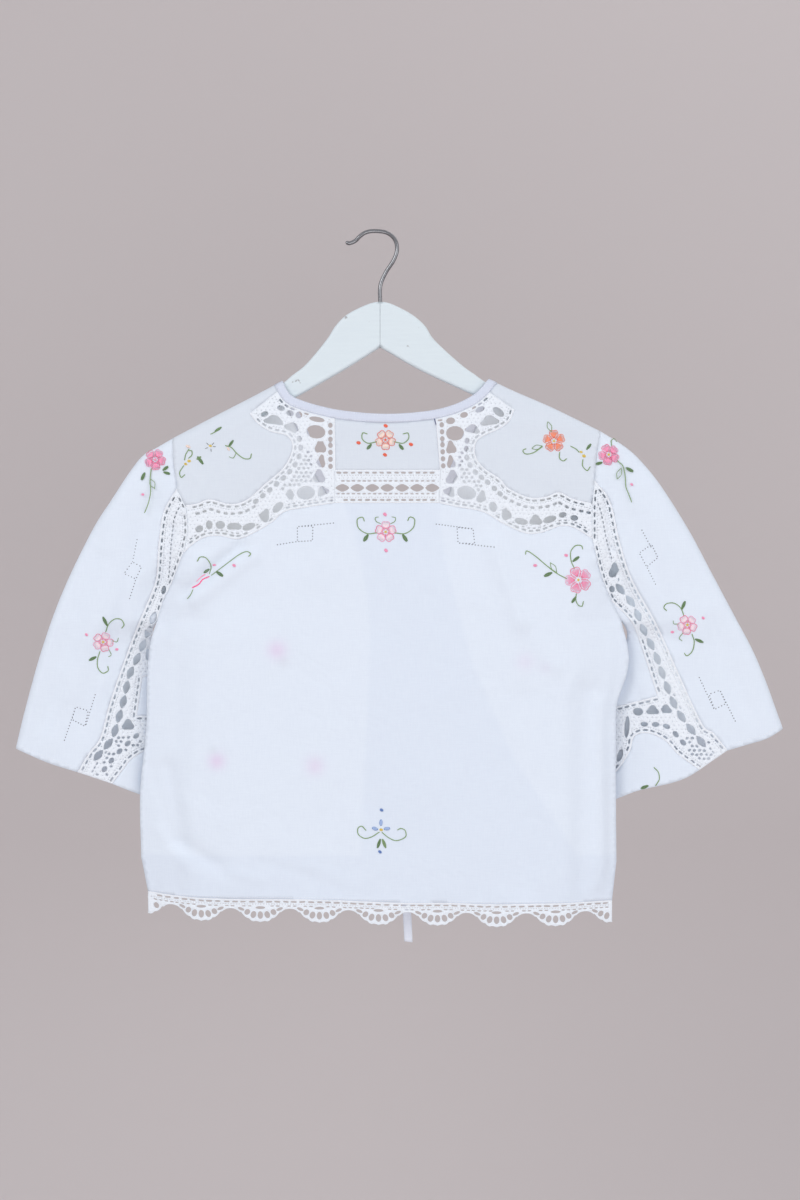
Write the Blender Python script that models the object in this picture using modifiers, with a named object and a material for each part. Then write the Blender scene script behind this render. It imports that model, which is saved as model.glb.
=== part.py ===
# A cropped blouse of white cotton, hung on a wooden hanger, back view towards -Y.
# Every place is "across, down" in millimetres from the inside of the hook's crown,
# where the hanger rests on its rail: across runs along +X, down runs along -Z.
# The back panel bows out to -Y and the front panel to +Y.

import math

import bpy
import numpy as np
from mathutils import Vector
from mathutils.geometry import delaunay_2d_cdt

MM = 0.001

# Driving sizes in millimetres.
CLOTH = 1.2          # thickness of cloth and lace
BAND = 1.8           # thickness of the folded neck and front binding
BINDING_WIDE = 9.0   # width of the binding
GAP = 0.3            # gap left between two pieces at a seam
BODY_DEEP = 18.0     # bow of a body panel away from the middle plane
SIDE_REACH = 55.0    # how far in from a side seam the body is fully bowed
SLEEVE_DEEP = 13.0   # bow of a sleeve panel away from the sleeve's own middle
SLEEVE_REACH = 55.0  # how far in from the underarm seam a sleeve is fully bowed
FOLD_DEEP = 8.6      # bow just below the top fold, round the hanger's arm
FOLD_REACH = 6.0     # how far below the top fold that bow is reached
SLOPE_REACH = 70.0   # how far below the top fold the body is fully bowed
SEAM_DEEP = 0.9      # bow right at a side seam
TUCK = 18.0          # how far the sleeve's inner part lies behind the body
TUCK_DOWN = 16.0     # how soon below the underarm that tuck is reached
TUCK_SPREAD = 0.3    # how much later it is reached further out from the inner edge
TUCK_ACROSS = 120.0  # how far out from the inner edge the tuck fades
TUCK_REST = 0.3      # share of the tuck that is left at the outer fold
BLEND = 30.0         # how far from the armhole the sleeve takes the body's bow
FOLD_FADE = 5.0      # bow over the seam's own at which a fold has its full height
EDGE_STEP = 12.5     # spacing of points along an outline
OPENING_STEP = 20.0  # the same along the front opening's edges
FINE_STEP = 1.0      # spacing along a curve that is only measured
FOLD_STEP = 20.0     # spacing of points along a fold
FOLD_APART = 5.5     # least room between such a point and its neighbours
GRID_STEP = 27.0     # spacing of points inside cloth
FRONT_STEP = 52.0    # the same on the front, which faces away
COTTON_STEPS = {"back": GRID_STEP, "front": FRONT_STEP}
LACE_STEP = 22.0     # spacing of points inside lace
FOLD_ROWS = (1.6, 4.0, 8.0)  # rows of points just inside the top fold
ROW_APART = 0.8      # least room beside such a row, as a share of its distance
ROW_CLEAR = 1 / 3    # share of a step left clear beyond the last row
GRID_APART = 0.5     # least room between inner points, as a share of their spacing
RIM_APART = 0.36     # least room between inner points and an outline, in the same way
GRID_ROW = 0.87      # a row's height as a share of the spacing, for even triangles
GRID_SHIFT = (0.9, 0.5)  # where each second row begins, as shares of the spacing
CURVE_PARTS = 24     # straight parts between two given points of a soft curve
SOFTNESS = 1.2       # rounding where two bows meet
SOFT_LOW = 4.8       # bow below which that rounding fades out
SLOPE_STEP = 0.4     # step for measuring the slope of the cloth
CORNER = 0.4         # how far a sharp corner may step in beyond its sides
SLIVER = 0.01        # least area of a triangle in the plane
SURE = 1e-6          # least distance that counts

WIRE = 1.9           # half thickness of the hook's wire
HANGER_DEEP = 12.0   # thickness of the wooden hanger
HANGER_ROUND = 3.0   # rounding of the hanger's edges
HANGER_STEP = 22.0   # spacing of points along the wood's outline
ROUND_PARTS = 2      # straight parts in each rounding of the wood
ROUND_ANGLE = 60     # least angle of an edge of the wood that is rounded, in degrees
SOCKET_DEEP = 14.0   # depth of the hook's socket in the wood
SOCKET_SIDES = 12
WIRE_ROUND = 2       # roundness of the wire, as extra points to a quarter turn
TIE_WIDE = 8.5       # width of a tie tape
TIE_THICK = 1.2      # thickness of a tie tape

# Named places: across, down.
PLACES = {
    "neck_left": (-93, 149),
    "band_left": (-101, 153.2),
    "opening_low_left": (-14, 627),
    "front_low_left": (-23, 626.5),
    "armhole_top_left": (-203, 206.5),
    "sleeve_lace_top_left": (-198, 258),
    "yoke_up_end_left": (-189, 275),
    "yoke_low_end_left": (-191, 321),
    "underarm_left": (-218.5, 388),
    "side_front_left": (-235, 627),
    "hem_left": (-228, 662),
    "hem_tip_left": (-226, 683),
    "yoke_tip_left": (-125, 182),
    "patch_low_left": (-40, 239.5),
    "ladder_low_left": (-40, 271.5),
    "cuff_out_left": (-361.5, 518),
    "cuff_lace_out_left": (-298, 542),
    "cuff_lace_in_left": (-265, 553.5),
    "cuff_in_left": (-203, 575),
    "under_corner_left": (-235.5, 446),
    "under_top_left": (-217, 444),
    "under_heel_left": (-241, 486),
    "under_low_left": (-212, 487.5),
    "scallop_in_left": (-208, 515),
    "neck_right": (114, 147),
    "band_right": (122, 151),
    "opening_low_right": (202, 626),
    "front_low_right": (211, 627),
    "armhole_top_right": (226, 199.5),
    "sleeve_lace_top_right": (219.5, 250),
    "yoke_up_end_right": (217, 273),
    "yoke_low_end_right": (217, 307),
    "under_lace_right": (237, 369),
    "underarm_right": (247, 389),
    "side_front_right": (242.5, 631),
    "hem_right": (238, 671),
    "hem_tip_right": (234, 688),
    "yoke_tip_right": (139, 178),
    "patch_low_right": (65.5, 239.5),
    "ladder_low_right": (64, 271.5),
    "cuff_out_right": (410, 498),
    "cuff_lace_out_right": (353, 520),
    "cuff_lace_in_right": (326, 539),
    "cuff_in_right": (223, 577),
    "under_heel_right": (284.5, 466),
    "under_low_right": (229, 480),
    "scallop_in_right": (225, 555),
}

# The neckline's upper edge across the back, and each front's opening edge: across, down.
NECK = (
    (-93, 149), (-85, 163), (-74, 169), (-55, 175), (-30, 180), (10, 183),
    (50, 180.5), (75, 175), (93, 167), (104, 159), (114, 147),
)
OPENING_LEFT = (
    (-93, 149), (-70, 194), (-53, 237), (-43, 254), (-30, 276), (-17, 317),
    (-7, 369), (-5, 409), (-8, 489), (-12, 569), (-14, 627),
)
OPENING_RIGHT = (
    (114, 147), (90, 199), (77, 232), (68, 252), (64, 274), (68, 314),
    (78, 359), (98, 432), (122, 489), (139, 526), (168, 572), (202, 626),
)
# Where pieces below the neck binding meet, as places across.
NECK_SPLITS = (-98, -41, 63, 114)

# Seams and edges, each from one named place through its own points to another.
EDGES = {
    "shoulder_left": ("band_left", (-129, 168), (-164, 186), "armhole_top_left"),
    "sleeve_fold_left": (
        "armhole_top_left", (-219, 216), (-233, 224), (-246, 240), (-265, 269), (-284, 299),
        (-313, 359), (-335, 419), (-352, 479), "cuff_out_left",
    ),
    "cuff_cloth_left": ("cuff_out_left", (-329, 532), "cuff_lace_out_left"),
    "cuff_lace_left": ("cuff_lace_out_left", "cuff_lace_in_left"),
    "cuff_under_left": ("cuff_lace_in_left", (-237, 565), "cuff_in_left"),
    "armhole_a_left": ("armhole_top_left", (-202, 229), "sleeve_lace_top_left"),
    "armhole_b_left": ("sleeve_lace_top_left", "yoke_up_end_left"),
    "armhole_c_left": ("yoke_up_end_left", (-187, 299), "yoke_low_end_left"),
    "armhole_d_left": ("yoke_low_end_left", (-203, 351), (-212, 369), "underarm_left"),
    "side_a_left": (
        "underarm_left", (-226, 413), (-229, 450), (-230, 500), (-236, 562), "side_front_left",
    ),
    "side_b_left": ("side_front_left", "hem_left"),
    "yoke_end_left": ("neck_split_0", "yoke_tip_left"),
    "yoke_up_left": (
        "yoke_tip_left", (-117, 192), (-104, 200), (-87, 205), (-82, 218), (-91, 237),
        (-109, 253), (-129, 270), (-146, 273.5), (-165, 269), (-177, 273), "yoke_up_end_left",
    ),
    "yoke_low_left": (
        "ladder_low_left", (-69, 276), (-91, 280.5), (-102.5, 290.5), (-122, 302),
        (-138, 307.5), (-154, 304.5), (-169, 305.5), (-181, 312), "yoke_low_end_left",
    ),
    "patch_side_left": ("neck_split_1", "patch_low_left"),
    "ladder_end_left": ("patch_low_left", "ladder_low_left"),
    "patch_low": ("patch_low_left", "patch_low_right"),
    "ladder_low": ("ladder_low_left", "ladder_low_right"),
    "patch_side_right": ("neck_split_2", "patch_low_right"),
    "ladder_end_right": ("patch_low_right", "ladder_low_right"),
    "sleeve_lace_left": (
        "sleeve_lace_top_left", (-211, 281), (-215.5, 309), (-219.5, 348), (-231, 378),
        (-246, 413), (-265.5, 470), (-275.5, 507), (-287, 523), "cuff_lace_out_left",
    ),
    "under_top_left": ("under_corner_left", "under_top_left"),
    "under_side_left": ("under_corner_left", "under_heel_left"),
    "under_low_left": ("under_heel_left", "under_low_left"),
    "scallop_left": (
        "cuff_lace_in_left", (-255.5, 541), (-245.5, 528.5), (-232, 521), "scallop_in_left",
    ),
    "inner_a_left": ("underarm_left", (-224.5, 399), (-226, 410), (-223, 425), "under_top_left"),
    "inner_b_left": ("under_top_left", "under_low_left"),
    "inner_c_left": ("under_low_left", "scallop_in_left"),
    "inner_d_left": ("scallop_in_left", "cuff_in_left"),
    "shoulder_right": ("band_right", (141, 160), (178, 176), "armhole_top_right"),
    "sleeve_fold_right": (
        "armhole_top_right", (252, 216), (269, 232), (288, 256), (315, 299), (339, 344),
        (363, 389), (379, 419), (392, 449), (403, 479), "cuff_out_right",
    ),
    "cuff_cloth_right": ("cuff_out_right", (393, 508), (377, 513), "cuff_lace_out_right"),
    "cuff_lace_right": ("cuff_lace_out_right", (340, 529), "cuff_lace_in_right"),
    "cuff_under_right": (
        "cuff_lace_in_right", (313, 547), (297, 553), (265, 561), (243, 570), "cuff_in_right",
    ),
    "armhole_a_right": ("armhole_top_right", (222, 224), "sleeve_lace_top_right"),
    "armhole_b_right": ("sleeve_lace_top_right", "yoke_up_end_right"),
    "armhole_c_right": ("yoke_up_end_right", (217, 291), "yoke_low_end_right"),
    "armhole_d_right": ("yoke_low_end_right", (222, 329), (228, 349), "under_lace_right"),
    "armhole_e_right": ("under_lace_right", "underarm_right"),
    "side_a_right": (
        "underarm_right", (254.5, 420), (253, 443), (243, 474), (242, 509), (242, 577),
        "side_front_right",
    ),
    "side_b_right": ("side_front_right", "hem_right"),
    "yoke_end_right": ("neck_split_3", "yoke_tip_right"),
    "yoke_up_right": (
        "yoke_tip_right", (134.5, 189), (124.5, 197), (106, 206), (100, 213), (100, 225),
        (108, 237), (124.5, 248.5), (132, 257), (147.5, 265), (159, 267.5), (172, 266),
        (184, 262), (198, 268.5), "yoke_up_end_right",
    ),
    "yoke_low_right": (
        "ladder_low_right", (79.5, 275), (108, 280.5), (128, 292), (149.5, 301.5),
        (165, 301.5), (184, 295), (198, 296), "yoke_low_end_right",
    ),
    "sleeve_lace_right": (
        "sleeve_lace_top_right", (235, 271), (244.5, 311), (257, 348), (284.5, 398),
        (302, 438), (327, 492.5), (339, 503), "cuff_lace_out_right",
    ),
    "under_side_right": ("under_lace_right", (259.5, 393), (273, 429), "under_heel_right"),
    "under_low_right": ("under_heel_right", (242, 477.5), "under_low_right"),
    "scallop_right": (
        "cuff_lace_in_right", (304.5, 523.5), (292, 510), (275, 502.5), (261, 506),
        (256, 522), (243, 542), "scallop_in_right",
    ),
    "inner_a_right": ("underarm_right", (253.5, 399), (253.5, 410), (244, 427), "under_low_right"),
    "inner_c_right": ("under_low_right", "scallop_in_right"),
    "inner_d_right": ("scallop_in_right", "cuff_in_right"),
    "hem_back": (
        "hem_left", (-192, 666), (-142, 668), (-56, 669), (25, 672), (71, 672),
        (121, 673.5), (187, 672.5), "hem_right",
    ),
    "hem_front_left": (
        "side_front_left", (-195, 614), (-155, 614), (-95, 620), (-55, 625), "front_low_left",
    ),
    "hem_front_right": ("front_low_right", "side_front_right"),
}


# Where the top fold is met, so that points gather there to turn round it.
FOLD_PLACES = ("neck", "band", "armhole_top", "cuff_out")
# The middle plane's own limits above the underarm: across, down. A body panel runs
# on under the sleeve and a sleeve panel runs on under the body.
BODY_BEYOND = {
    "left": ((-375, 249), (-255, 309), (-229, 357)),
    "right": ((405, 249), (280, 309), (257, 357)),
}
SLEEVE_BEYOND = {
    "left": ((-45, 269), (-145, 314), (-197, 357)),
    "right": ((75, 269), (173, 314), (225, 357)),
}

# Largest folds: first end, second end, half width, height; a trough has a height below 0.
BACK_FOLDS = (
    ((-191, 363), (-133, 314), 6, -3.6),
    ((-179, 371), (-121, 325), 7, 2.6),
    ((119, 314), (147, 391), 10, 2.6),
    ((147, 391), (181, 433), 9, 2.2),
    ((229, 474), (225, 649), 11, 3.2),
    ((209, 459), (207, 649), 9, -2.0),
    ((-207, 539), (-193, 612), 9, -2.8),
    ((-193, 612), (-153, 637), 8, -2.4),
    ((-135, 409), (-139, 649), 24, 2.4),
    ((-45, 369), (-50, 649), 22, -1.8),
    ((65, 359), (71, 649), 26, 2.0),
    ((145, 469), (151, 654), 18, -2.0),
    ((-175, 329), (-203, 409), 8, 2.2),
)
FRONT_FOLDS = (
    ((-145, 289), (-135, 589), 22, 3.0),
    ((-75, 409), (-79, 599), 20, -2.2),
    ((-193, 329), (-170, 469), 14, 2.4),
    ((145, 289), (185, 509), 20, 2.6),
    ((210, 369), (215, 589), 14, -2.2),
)
SLEEVE_FOLDS = (
    ((-247, 259), (-301, 459), 15, 2.4),
    ((-277, 329), (-329, 489), 12, -1.8),
    ((-225, 269), (-263, 419), 10, -2.0),
    ((275, 254), (331, 379), 15, 2.4),
    ((315, 349), (370, 474), 13, -1.8),
    ((259, 289), (301, 409), 10, -2.0),
)

# Gaps in the lace: centre across, centre down, wide, high, tilt in degrees, lobes.
LACE_GAPS = {
    "left_yoke_lace": (
        (-110.5, 183, 9, 6, -20, 1),
        (-94, 177, 7, 4.6, 20, 1),
        (-85, 182.2, 7, 5, 20, 1),
        (-76, 184, 6, 6, 20, 1),
        (-58, 188.5, 14, 4.6, 10, 1),
        (-101, 189.5, 17, 8, 8, 3),
        (-82.5, 197, 14, 8, 25, 1),
        (-59, 201, 18, 11, 8, 2),
        (-54.5, 216, 9.5, 12, 0, 1),
        (-54, 231, 8, 12, 10, 1),
        (-56, 246, 11, 12.5, 0, 1),
        (-52, 260.5, 10, 8, -25, 1),
        (-69, 262, 17, 11, -5, 2),
        (-85, 264.5, 9, 9, 0, 1),
        (-97, 276.5, 12, 6.5, -45, 1),
        (-110.5, 285, 9, 11.5, 25, 1),
        (-126, 295.8, 12, 6, -22, 1),
        (-140.5, 294.5, 13, 9.5, 0, 3),
        (-154.5, 294, 8.5, 7, 0, 1),
        (-165.5, 294, 6, 8, 0, 1),
        (-175.5, 298, 7, 6, -30, 1),
    ),
    "right_yoke_lace": (
        (75.5, 190, 8, 6, -8, 1),
        (89, 184, 7, 5, -15, 1),
        (105, 178.5, 9, 4.6, -25, 1),
        (123.5, 181, 12, 6.5, 38, 1),
        (114.5, 190, 16, 8.5, -8, 3),
        (97.5, 198.5, 14, 8.5, 10, 1),
        (80, 202.5, 17, 12, 0, 2),
        (76, 217, 9, 12, -8, 1),
        (76, 231.5, 8, 12.5, -8, 1),
        (77.5, 247, 11, 12, 0, 1),
        (74.5, 261, 10, 8, 30, 1),
        (91.5, 262, 18, 11, 10, 2),
        (106.5, 266.5, 8, 11, 10, 1),
        (118, 276, 7, 9, -20, 1),
        (131, 283, 8, 12, -20, 1),
        (146, 290.5, 13, 6, 12, 1),
        (160.5, 289.5, 12, 10, 0, 3),
        (174.5, 288.5, 13, 6.5, -18, 1),
        (187.5, 284, 7, 5, -10, 1),
        (199, 287, 7, 5, 8, 1),
    ),
    "left_sleeve_lace": (
        (-212, 359, 4.6, 8, 15, 1),
        (-228.5, 421, 5.5, 16, 12, 1),
        (-249, 495, 10, 9.5, 0, 1),
    ),
    "right_sleeve_lace": (
        (240, 340, 10, 13, 0, 1),
        (237.5, 358, 6, 7, -20, 1),
        (292, 479, 12, 9, 0, 3),
        (279, 480, 11, 8.5, 0, 3),
        (265, 481.5, 9, 7, 0, 1),
        (254, 497, 4.6, 20, 4, 1),
        (247, 526, 5, 12, 18, 1),
    ),
}

# Runs of like gaps: the run's own points, how many, wide across it, long along it.
GAP_RUNS = {
    "left_yoke_lace": (
        (((-75.5, 208), (-74.5, 221), (-82, 237), (-99, 254), (-119, 270.5)), 10, 4.4, 5.4),
        (((-44.6, 194.5), (-44.4, 235.5)), 7, 4.2, 4.8),
    ),
    "right_yoke_lace": (
        (((92, 210), (91.5, 225), (98, 239), (112, 251), (125, 263)), 9, 4.4, 5.4),
        (((66.7, 194), (68.2, 235)), 7, 4.2, 4.8),
    ),
    "back_ladder_lace": (
        (((-32.5, 257), (57, 257)), 7, 9.0, 12.4),
    ),
    "left_sleeve_lace": (
        (((-223, 387), (-232.5, 410), (-241, 430), (-248, 446), (-253, 469), (-259, 491),
          (-265, 509), (-278, 525)), 11, 7.0, 10.4),
        (((-241, 506), (-257, 521), (-272, 539)), 5, 4.4, 6.0),
    ),
    "right_sleeve_lace": (
        (((246, 358), (259, 374), (270, 399), (281, 421), (291, 450), (300, 473), (311, 491),
          (327, 511)), 12, 7.0, 10.6),
        (((271, 494), (293, 496), (309, 512)), 5, 4.4, 6.6),
    ),
}

# Hem lace: first scallop's middle across, number of scallops, and its own sizes.
SCALLOP_PITCH = 59.0
SCALLOP_VALLEY = 9.0
SCALLOP_DEEP = 21.5
SCALLOP_FULL = 0.6          # how full a scallop's curve is: lower is fuller
SCALLOP_STEPS = 6
HEM_MARGIN = 2.0            # least room between a scallop's own points and the lace's ends
PETAL_MARGIN = 4.0          # least room between a petal gap and the lace's ends
PETALS = 5
PETAL_WIDE = 4.6
PETAL_LONG = 6.2
PETAL_REACH = (15.0, 4.6)   # how far each petal gap stands from the fan's middle
PETAL_DOWN = 9.4            # how far the fan's middle lies below the lace's upper edge
PETAL_SPREAD = 62.0         # half angle of the fan, in degrees
HEMS = {
    "back_hem_lace": -173.5,
    "left_front_hem_lace": -174,
    "right_front_hem_lace": 223,
}
GAP_SIDES = 8
SMALL_GAP_SIDES = 6
SMALL_GAP = 7.5
LOBE_SIDES = 12
LOBE_DEEP = 0.16
TURN_STEPS = 3              # steps along a run each way that give a gap its direction

# The hook's wire, from the wood up and round to the tip: across, down.
HOOK = (
    (5, 83.5), (5, 69), (5.3, 53), (10.6, 40), (18.3, 28), (22, 17),
    (19.8, 6.6), (12, 0), (0, -1.9), (-9.3, -0.5), (-15.4, 3.5), (-20, 8),
    (-26, 10.4), (-29.5, 9),
)
HOOK_POINTS = 36
# The wooden hanger's upper and lower edges, from its middle out: across, down.
HANGER_TOP_LEFT = (
    (5, 69.5), (-3, 70.5), (-15.4, 75.4), (-29.2, 83), (-40, 94), (-49, 108),
    (-69, 132), (-84, 144), (-95, 153), (-129, 173), (-164, 191), (-193, 206), (-207, 215),
)
HANGER_LOW_LEFT = (
    (-214, 224), (-207, 230), (-185, 222), (-135, 196), (-80, 165.5), (-30, 137), (5, 115),
)
HANGER_TOP_RIGHT = (
    (5, 69.5), (13, 70.5), (24.5, 75.4), (38, 83), (50.4, 94), (59.6, 108),
    (85.6, 132), (100, 142.5), (112, 150.8), (141, 165), (178, 181), (205, 193), (217, 200),
)
HANGER_LOW_RIGHT = (
    (224, 209), (217, 215.5), (197, 208), (145, 185), (98, 162.7), (45, 138), (5, 115),
)

# The tie tapes, from the opening's edge down: across, down.
TIES = {
    "left_tie": ((-9.5, 372), (-6, 409), (2, 479), (14, 559), (26, 634), (31.5, 679),
                 (33.5, 715)),
    "right_tie": ((69.5, 277), (68, 314), (59, 379), (51, 459), (46.5, 534), (45, 615)),
}
TIE_POINTS = 16

# Colours.
COLOURS = {
    "cotton": (0.86, 0.88, 0.95, 1.0),
    "lace": (0.90, 0.91, 0.96, 1.0),
    "binding": (0.80, 0.83, 0.93, 1.0),
    "painted_wood": (0.80, 0.84, 0.87, 1.0),
    "chrome": (0.62, 0.63, 0.65, 1.0),
}
ROUGHNESS = {"cotton": 0.85, "lace": 0.9, "binding": 0.8, "painted_wood": 0.45, "chrome": 0.15}


def clear_scene():
    for thing in list(bpy.data.objects):
        bpy.data.objects.remove(thing, do_unlink=True)


def make_collection(name):
    group = bpy.data.collections.new(name)
    bpy.context.scene.collection.children.link(group)
    return group


def make_material(name, kind):
    material = bpy.data.materials.new(name)
    material.use_nodes = True
    shader = material.node_tree.nodes["Principled BSDF"]
    shader.inputs["Base Color"].default_value = COLOURS[kind]
    shader.inputs["Roughness"].default_value = ROUGHNESS[kind]
    shader.inputs["Metallic"].default_value = 1.0 if kind == "chrome" else 0.0
    return material


# Curves in the plane

def smooth(points, step, near_start=False, near_end=False):
    """Points along a soft curve through the given ones, about one step apart."""
    points = np.array(points, float)
    if len(points) > 2:
        ends = np.vstack([2 * points[0] - points[1], points, 2 * points[-1] - points[-2]])
        share = np.linspace(0, 1, CURVE_PARTS, endpoint=False)[:, None]
        runs = []
        for i in range(1, len(ends) - 2):
            before, start, end, after = ends[i - 1:i + 3]
            bend = (end - before) / 2
            leave = (after - start) / 2
            runs.append(
                start + bend * share
                + (3 * (end - start) - 2 * bend - leave) * share ** 2
                + (2 * (start - end) + bend + leave) * share ** 3
            )
        points = np.vstack(runs + [points[-1:]])
    along = np.concatenate([[0], np.cumsum(np.linalg.norm(np.diff(points, axis=0), axis=1))])
    count = max(1, round(along[-1] / step))
    marks = list(np.linspace(0, along[-1], count + 1))
    if near_start:
        marks = [0, *FOLD_ROWS] + [m for m in marks if m > FOLD_ROWS[-1] + step * ROW_CLEAR]
    if near_end:
        last = along[-1]
        rows = [last - row for row in reversed(FOLD_ROWS)]
        marks = [m for m in marks if m < rows[0] - step * ROW_CLEAR] + [*rows, last]
    return np.column_stack([np.interp(marks, along, points[:, k]) for k in (0, 1)])


def beside(points, distance):
    """The same curve moved sideways, to the left of its own run when distance is above 0."""
    run = np.gradient(points, axis=0)
    run /= np.linalg.norm(run, axis=1)[:, None]
    return points + distance * np.column_stack([run[:, 1], -run[:, 0]])


def on_fold(place):
    return isinstance(place, str) and place.rsplit("_", 1)[0] in FOLD_PLACES


def make_edges():
    """Every named edge as points in the plane."""
    places = dict(PLACES)
    edges = {}
    edges["neck"] = smooth(NECK, EDGE_STEP, True, True)
    low = beside(edges["neck"], -BINDING_WIDE)
    low[0] = places["band_left"]
    low[-1] = places["band_right"]
    splits = [int(np.argmin(abs(low[:, 0] - across))) for across in NECK_SPLITS]
    for number, at in enumerate(splits):
        places["neck_split_%d" % number] = tuple(low[at])
    stops = [0, *splits, len(low) - 1]
    for number in range(len(stops) - 1):
        edges["neck_low_%d" % number] = low[stops[number]:stops[number + 1] + 1]
    for side, points, turn in (("left", OPENING_LEFT, 1), ("right", OPENING_RIGHT, -1)):
        edges["opening_" + side] = smooth(points, OPENING_STEP, True, False)
        inner = beside(edges["opening_" + side], -turn * BINDING_WIDE)
        inner[0] = places["band_" + side]
        inner[-1] = places["front_low_" + side]
        edges["front_edge_" + side] = inner
        edges["band_top_" + side] = np.array([places["neck_" + side], places["band_" + side]], float)
        edges["band_low_" + side] = np.array(
            [places["front_low_" + side], places["opening_low_" + side]], float)
    for name, marks in EDGES.items():
        points = [places[mark] if isinstance(mark, str) else mark for mark in marks]
        along_fold = "fold" in name or "shoulder" in name
        near_start = on_fold(marks[0]) and not along_fold
        near_end = on_fold(marks[-1]) and not along_fold
        edges[name] = smooth(points, EDGE_STEP, near_start, near_end)
    return edges


def make_loop(edges, names):
    """One closed outline from edges in turn; a minus before a name runs it backwards."""
    points = []
    for name in names:
        run = edges[name[1:]][::-1] if name.startswith("-") else edges[name]
        points.extend(run[:-1])
    points = np.array(points)
    ahead = np.roll(points, -1, axis=0)
    area = np.sum(points[:, 0] * ahead[:, 1] - ahead[:, 0] * points[:, 1])
    return points if area > 0 else points[::-1]


# Distances in the plane

def distance_to(points, line):
    """Shortest distance from each point to a line of points."""
    best = np.full(len(points), np.inf)
    for start, end in zip(line[:-1], line[1:]):
        run = end - start
        share = np.clip((points - start) @ run / max(run @ run, SURE), 0, 1)
        best = np.minimum(best, np.linalg.norm(points - start - share[:, None] * run, axis=1))
    return best


def is_inside(points, loop):
    """Whether each point lies inside a closed outline."""
    result = np.zeros(len(points), bool)
    for (x1, d1), (x2, d2) in zip(loop, np.roll(loop, -1, axis=0)):
        crosses = (d1 > points[:, 1]) != (d2 > points[:, 1])
        meet = x1 + (points[:, 1] - d1) * (x2 - x1) / (d2 - d1 if d2 != d1 else SURE)
        result ^= crosses & (points[:, 0] < meet)
    return result


# The form of the cloth: how far it stands from the middle plane

class Form:
    """Bow and tuck of every panel, worked out from the seams' places."""

    def __init__(self, edges):
        self.folds = {}
        self.body_side = {}
        self.sleeve_side = {}
        self.armhole = {}
        for side in ("left", "right"):
            fold = np.vstack([
                edges["band_top_" + side], edges["shoulder_" + side][1:],
                edges["sleeve_fold_" + side][1:],
            ])
            self.folds[side] = fold
            side_line = np.vstack([edges["side_a_" + side], edges["side_b_" + side][1:]])
            self.body_side[side] = np.vstack([BODY_BEYOND[side], side_line])
            names = ["inner_%s_%s" % (part, side) for part in "abcd"]
            inner = np.vstack([edges[name] for name in names if name in edges])
            self.sleeve_side[side] = np.vstack([SLEEVE_BEYOND[side], inner])
            names = ["armhole_%s_%s" % (part, side) for part in "abcde"]
            self.armhole[side] = np.vstack([edges[name] for name in names if name in edges])

    def below_fold(self, points):
        """Distance below the top fold, below 0 outside the garment."""
        best = np.full(len(points), np.inf)
        sign = np.ones(len(points))
        for side, line in self.folds.items():
            order = np.argsort(line[:, 0])
            level = np.interp(points[:, 0], line[order, 0], line[order, 1])
            reach = (points[:, 0] - line[0, 0]) * (1 if side == "right" else -1)
            sign = np.where((reach >= 0) & (points[:, 1] < level), -1.0, sign)
            best = np.minimum(best, distance_to(points, line))
        return sign * best

    def fold_bow(self, points, full):
        below = self.below_fold(points)
        turn = 1 - np.clip(abs(below) / FOLD_REACH, 0, 1)
        bow = FOLD_DEEP * np.sqrt(1 - turn ** 2)
        bow += (full - FOLD_DEEP) * np.clip(abs(below) / SLOPE_REACH, 0, 1)
        return np.sign(below) * bow

    def within(self, points, line, toward):
        across = np.interp(points[:, 1], line[:, 1], line[:, 0])
        return np.maximum(0, (points[:, 0] - across) * toward)

    def body(self, points, folds):
        bow = self.fold_bow(points, BODY_DEEP)
        for side, toward in (("left", 1), ("right", -1)):
            within = self.within(points, self.body_side[side], toward)
            ramp = SEAM_DEEP + (BODY_DEEP - SEAM_DEEP) * np.clip(within / SIDE_REACH, 0, 1)
            bow = soft_least(bow, ramp)
        return bow + raise_folds(points, folds) * np.clip((bow - SEAM_DEEP) / FOLD_FADE, 0, 1)

    def sleeve(self, points, side, folds):
        toward = -1 if side == "left" else 1
        within = self.within(points, self.sleeve_side[side], toward)
        ramp = SEAM_DEEP + (SLEEVE_DEEP - SEAM_DEEP) * np.clip(within / SLEEVE_REACH, 0, 1)
        own = soft_least(self.fold_bow(points, SLEEVE_DEEP), ramp)
        own += raise_folds(points, SLEEVE_FOLDS) * np.clip((own - SEAM_DEEP) / FOLD_FADE, 0, 1)
        share = ease(distance_to(points, self.armhole[side]) / BLEND)
        bow = (1 - share) * self.body(points, folds) + share * own
        lower = np.maximum(0, points[:, 1] - PLACES["underarm_" + side][1])
        lower = lower ** 2 / (lower + TUCK_SPREAD * within + SURE)
        tuck = TUCK * (1 - np.exp(-lower / (TUCK_DOWN + TUCK_SPREAD * within)))
        tuck *= 1 - (1 - TUCK_REST) * ease(within / TUCK_ACROSS)
        return bow, tuck

    def place(self, points, panel):
        """Bow, and the middle plane's own shift, of one panel at the points."""
        folds = BACK_FOLDS if panel["face"] == "back" else FRONT_FOLDS
        if panel["form"] == "body":
            return self.body(points, folds), np.zeros(len(points))
        return self.sleeve(points, panel["form"], folds)


def ease(share):
    share = np.clip(share, 0, 1)
    return share * share * (3 - 2 * share)


def soft_least(one, other):
    low = np.minimum(one, other)
    high = np.maximum(one, other)
    rounding = SOFTNESS * np.log1p(np.exp(-(high - low) / SOFTNESS))
    return low - rounding * np.clip(low / SOFT_LOW, 0, 1)


def raise_folds(points, folds):
    """Height of the ridges and troughs at the points."""
    height = np.zeros(len(points))
    for start, end, half, high in folds:
        line = np.array([start, end], float)
        away = distance_to(points, line)
        height += high * np.exp(-(away / half) ** 2)
    return height


# Gaps in lace

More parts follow.
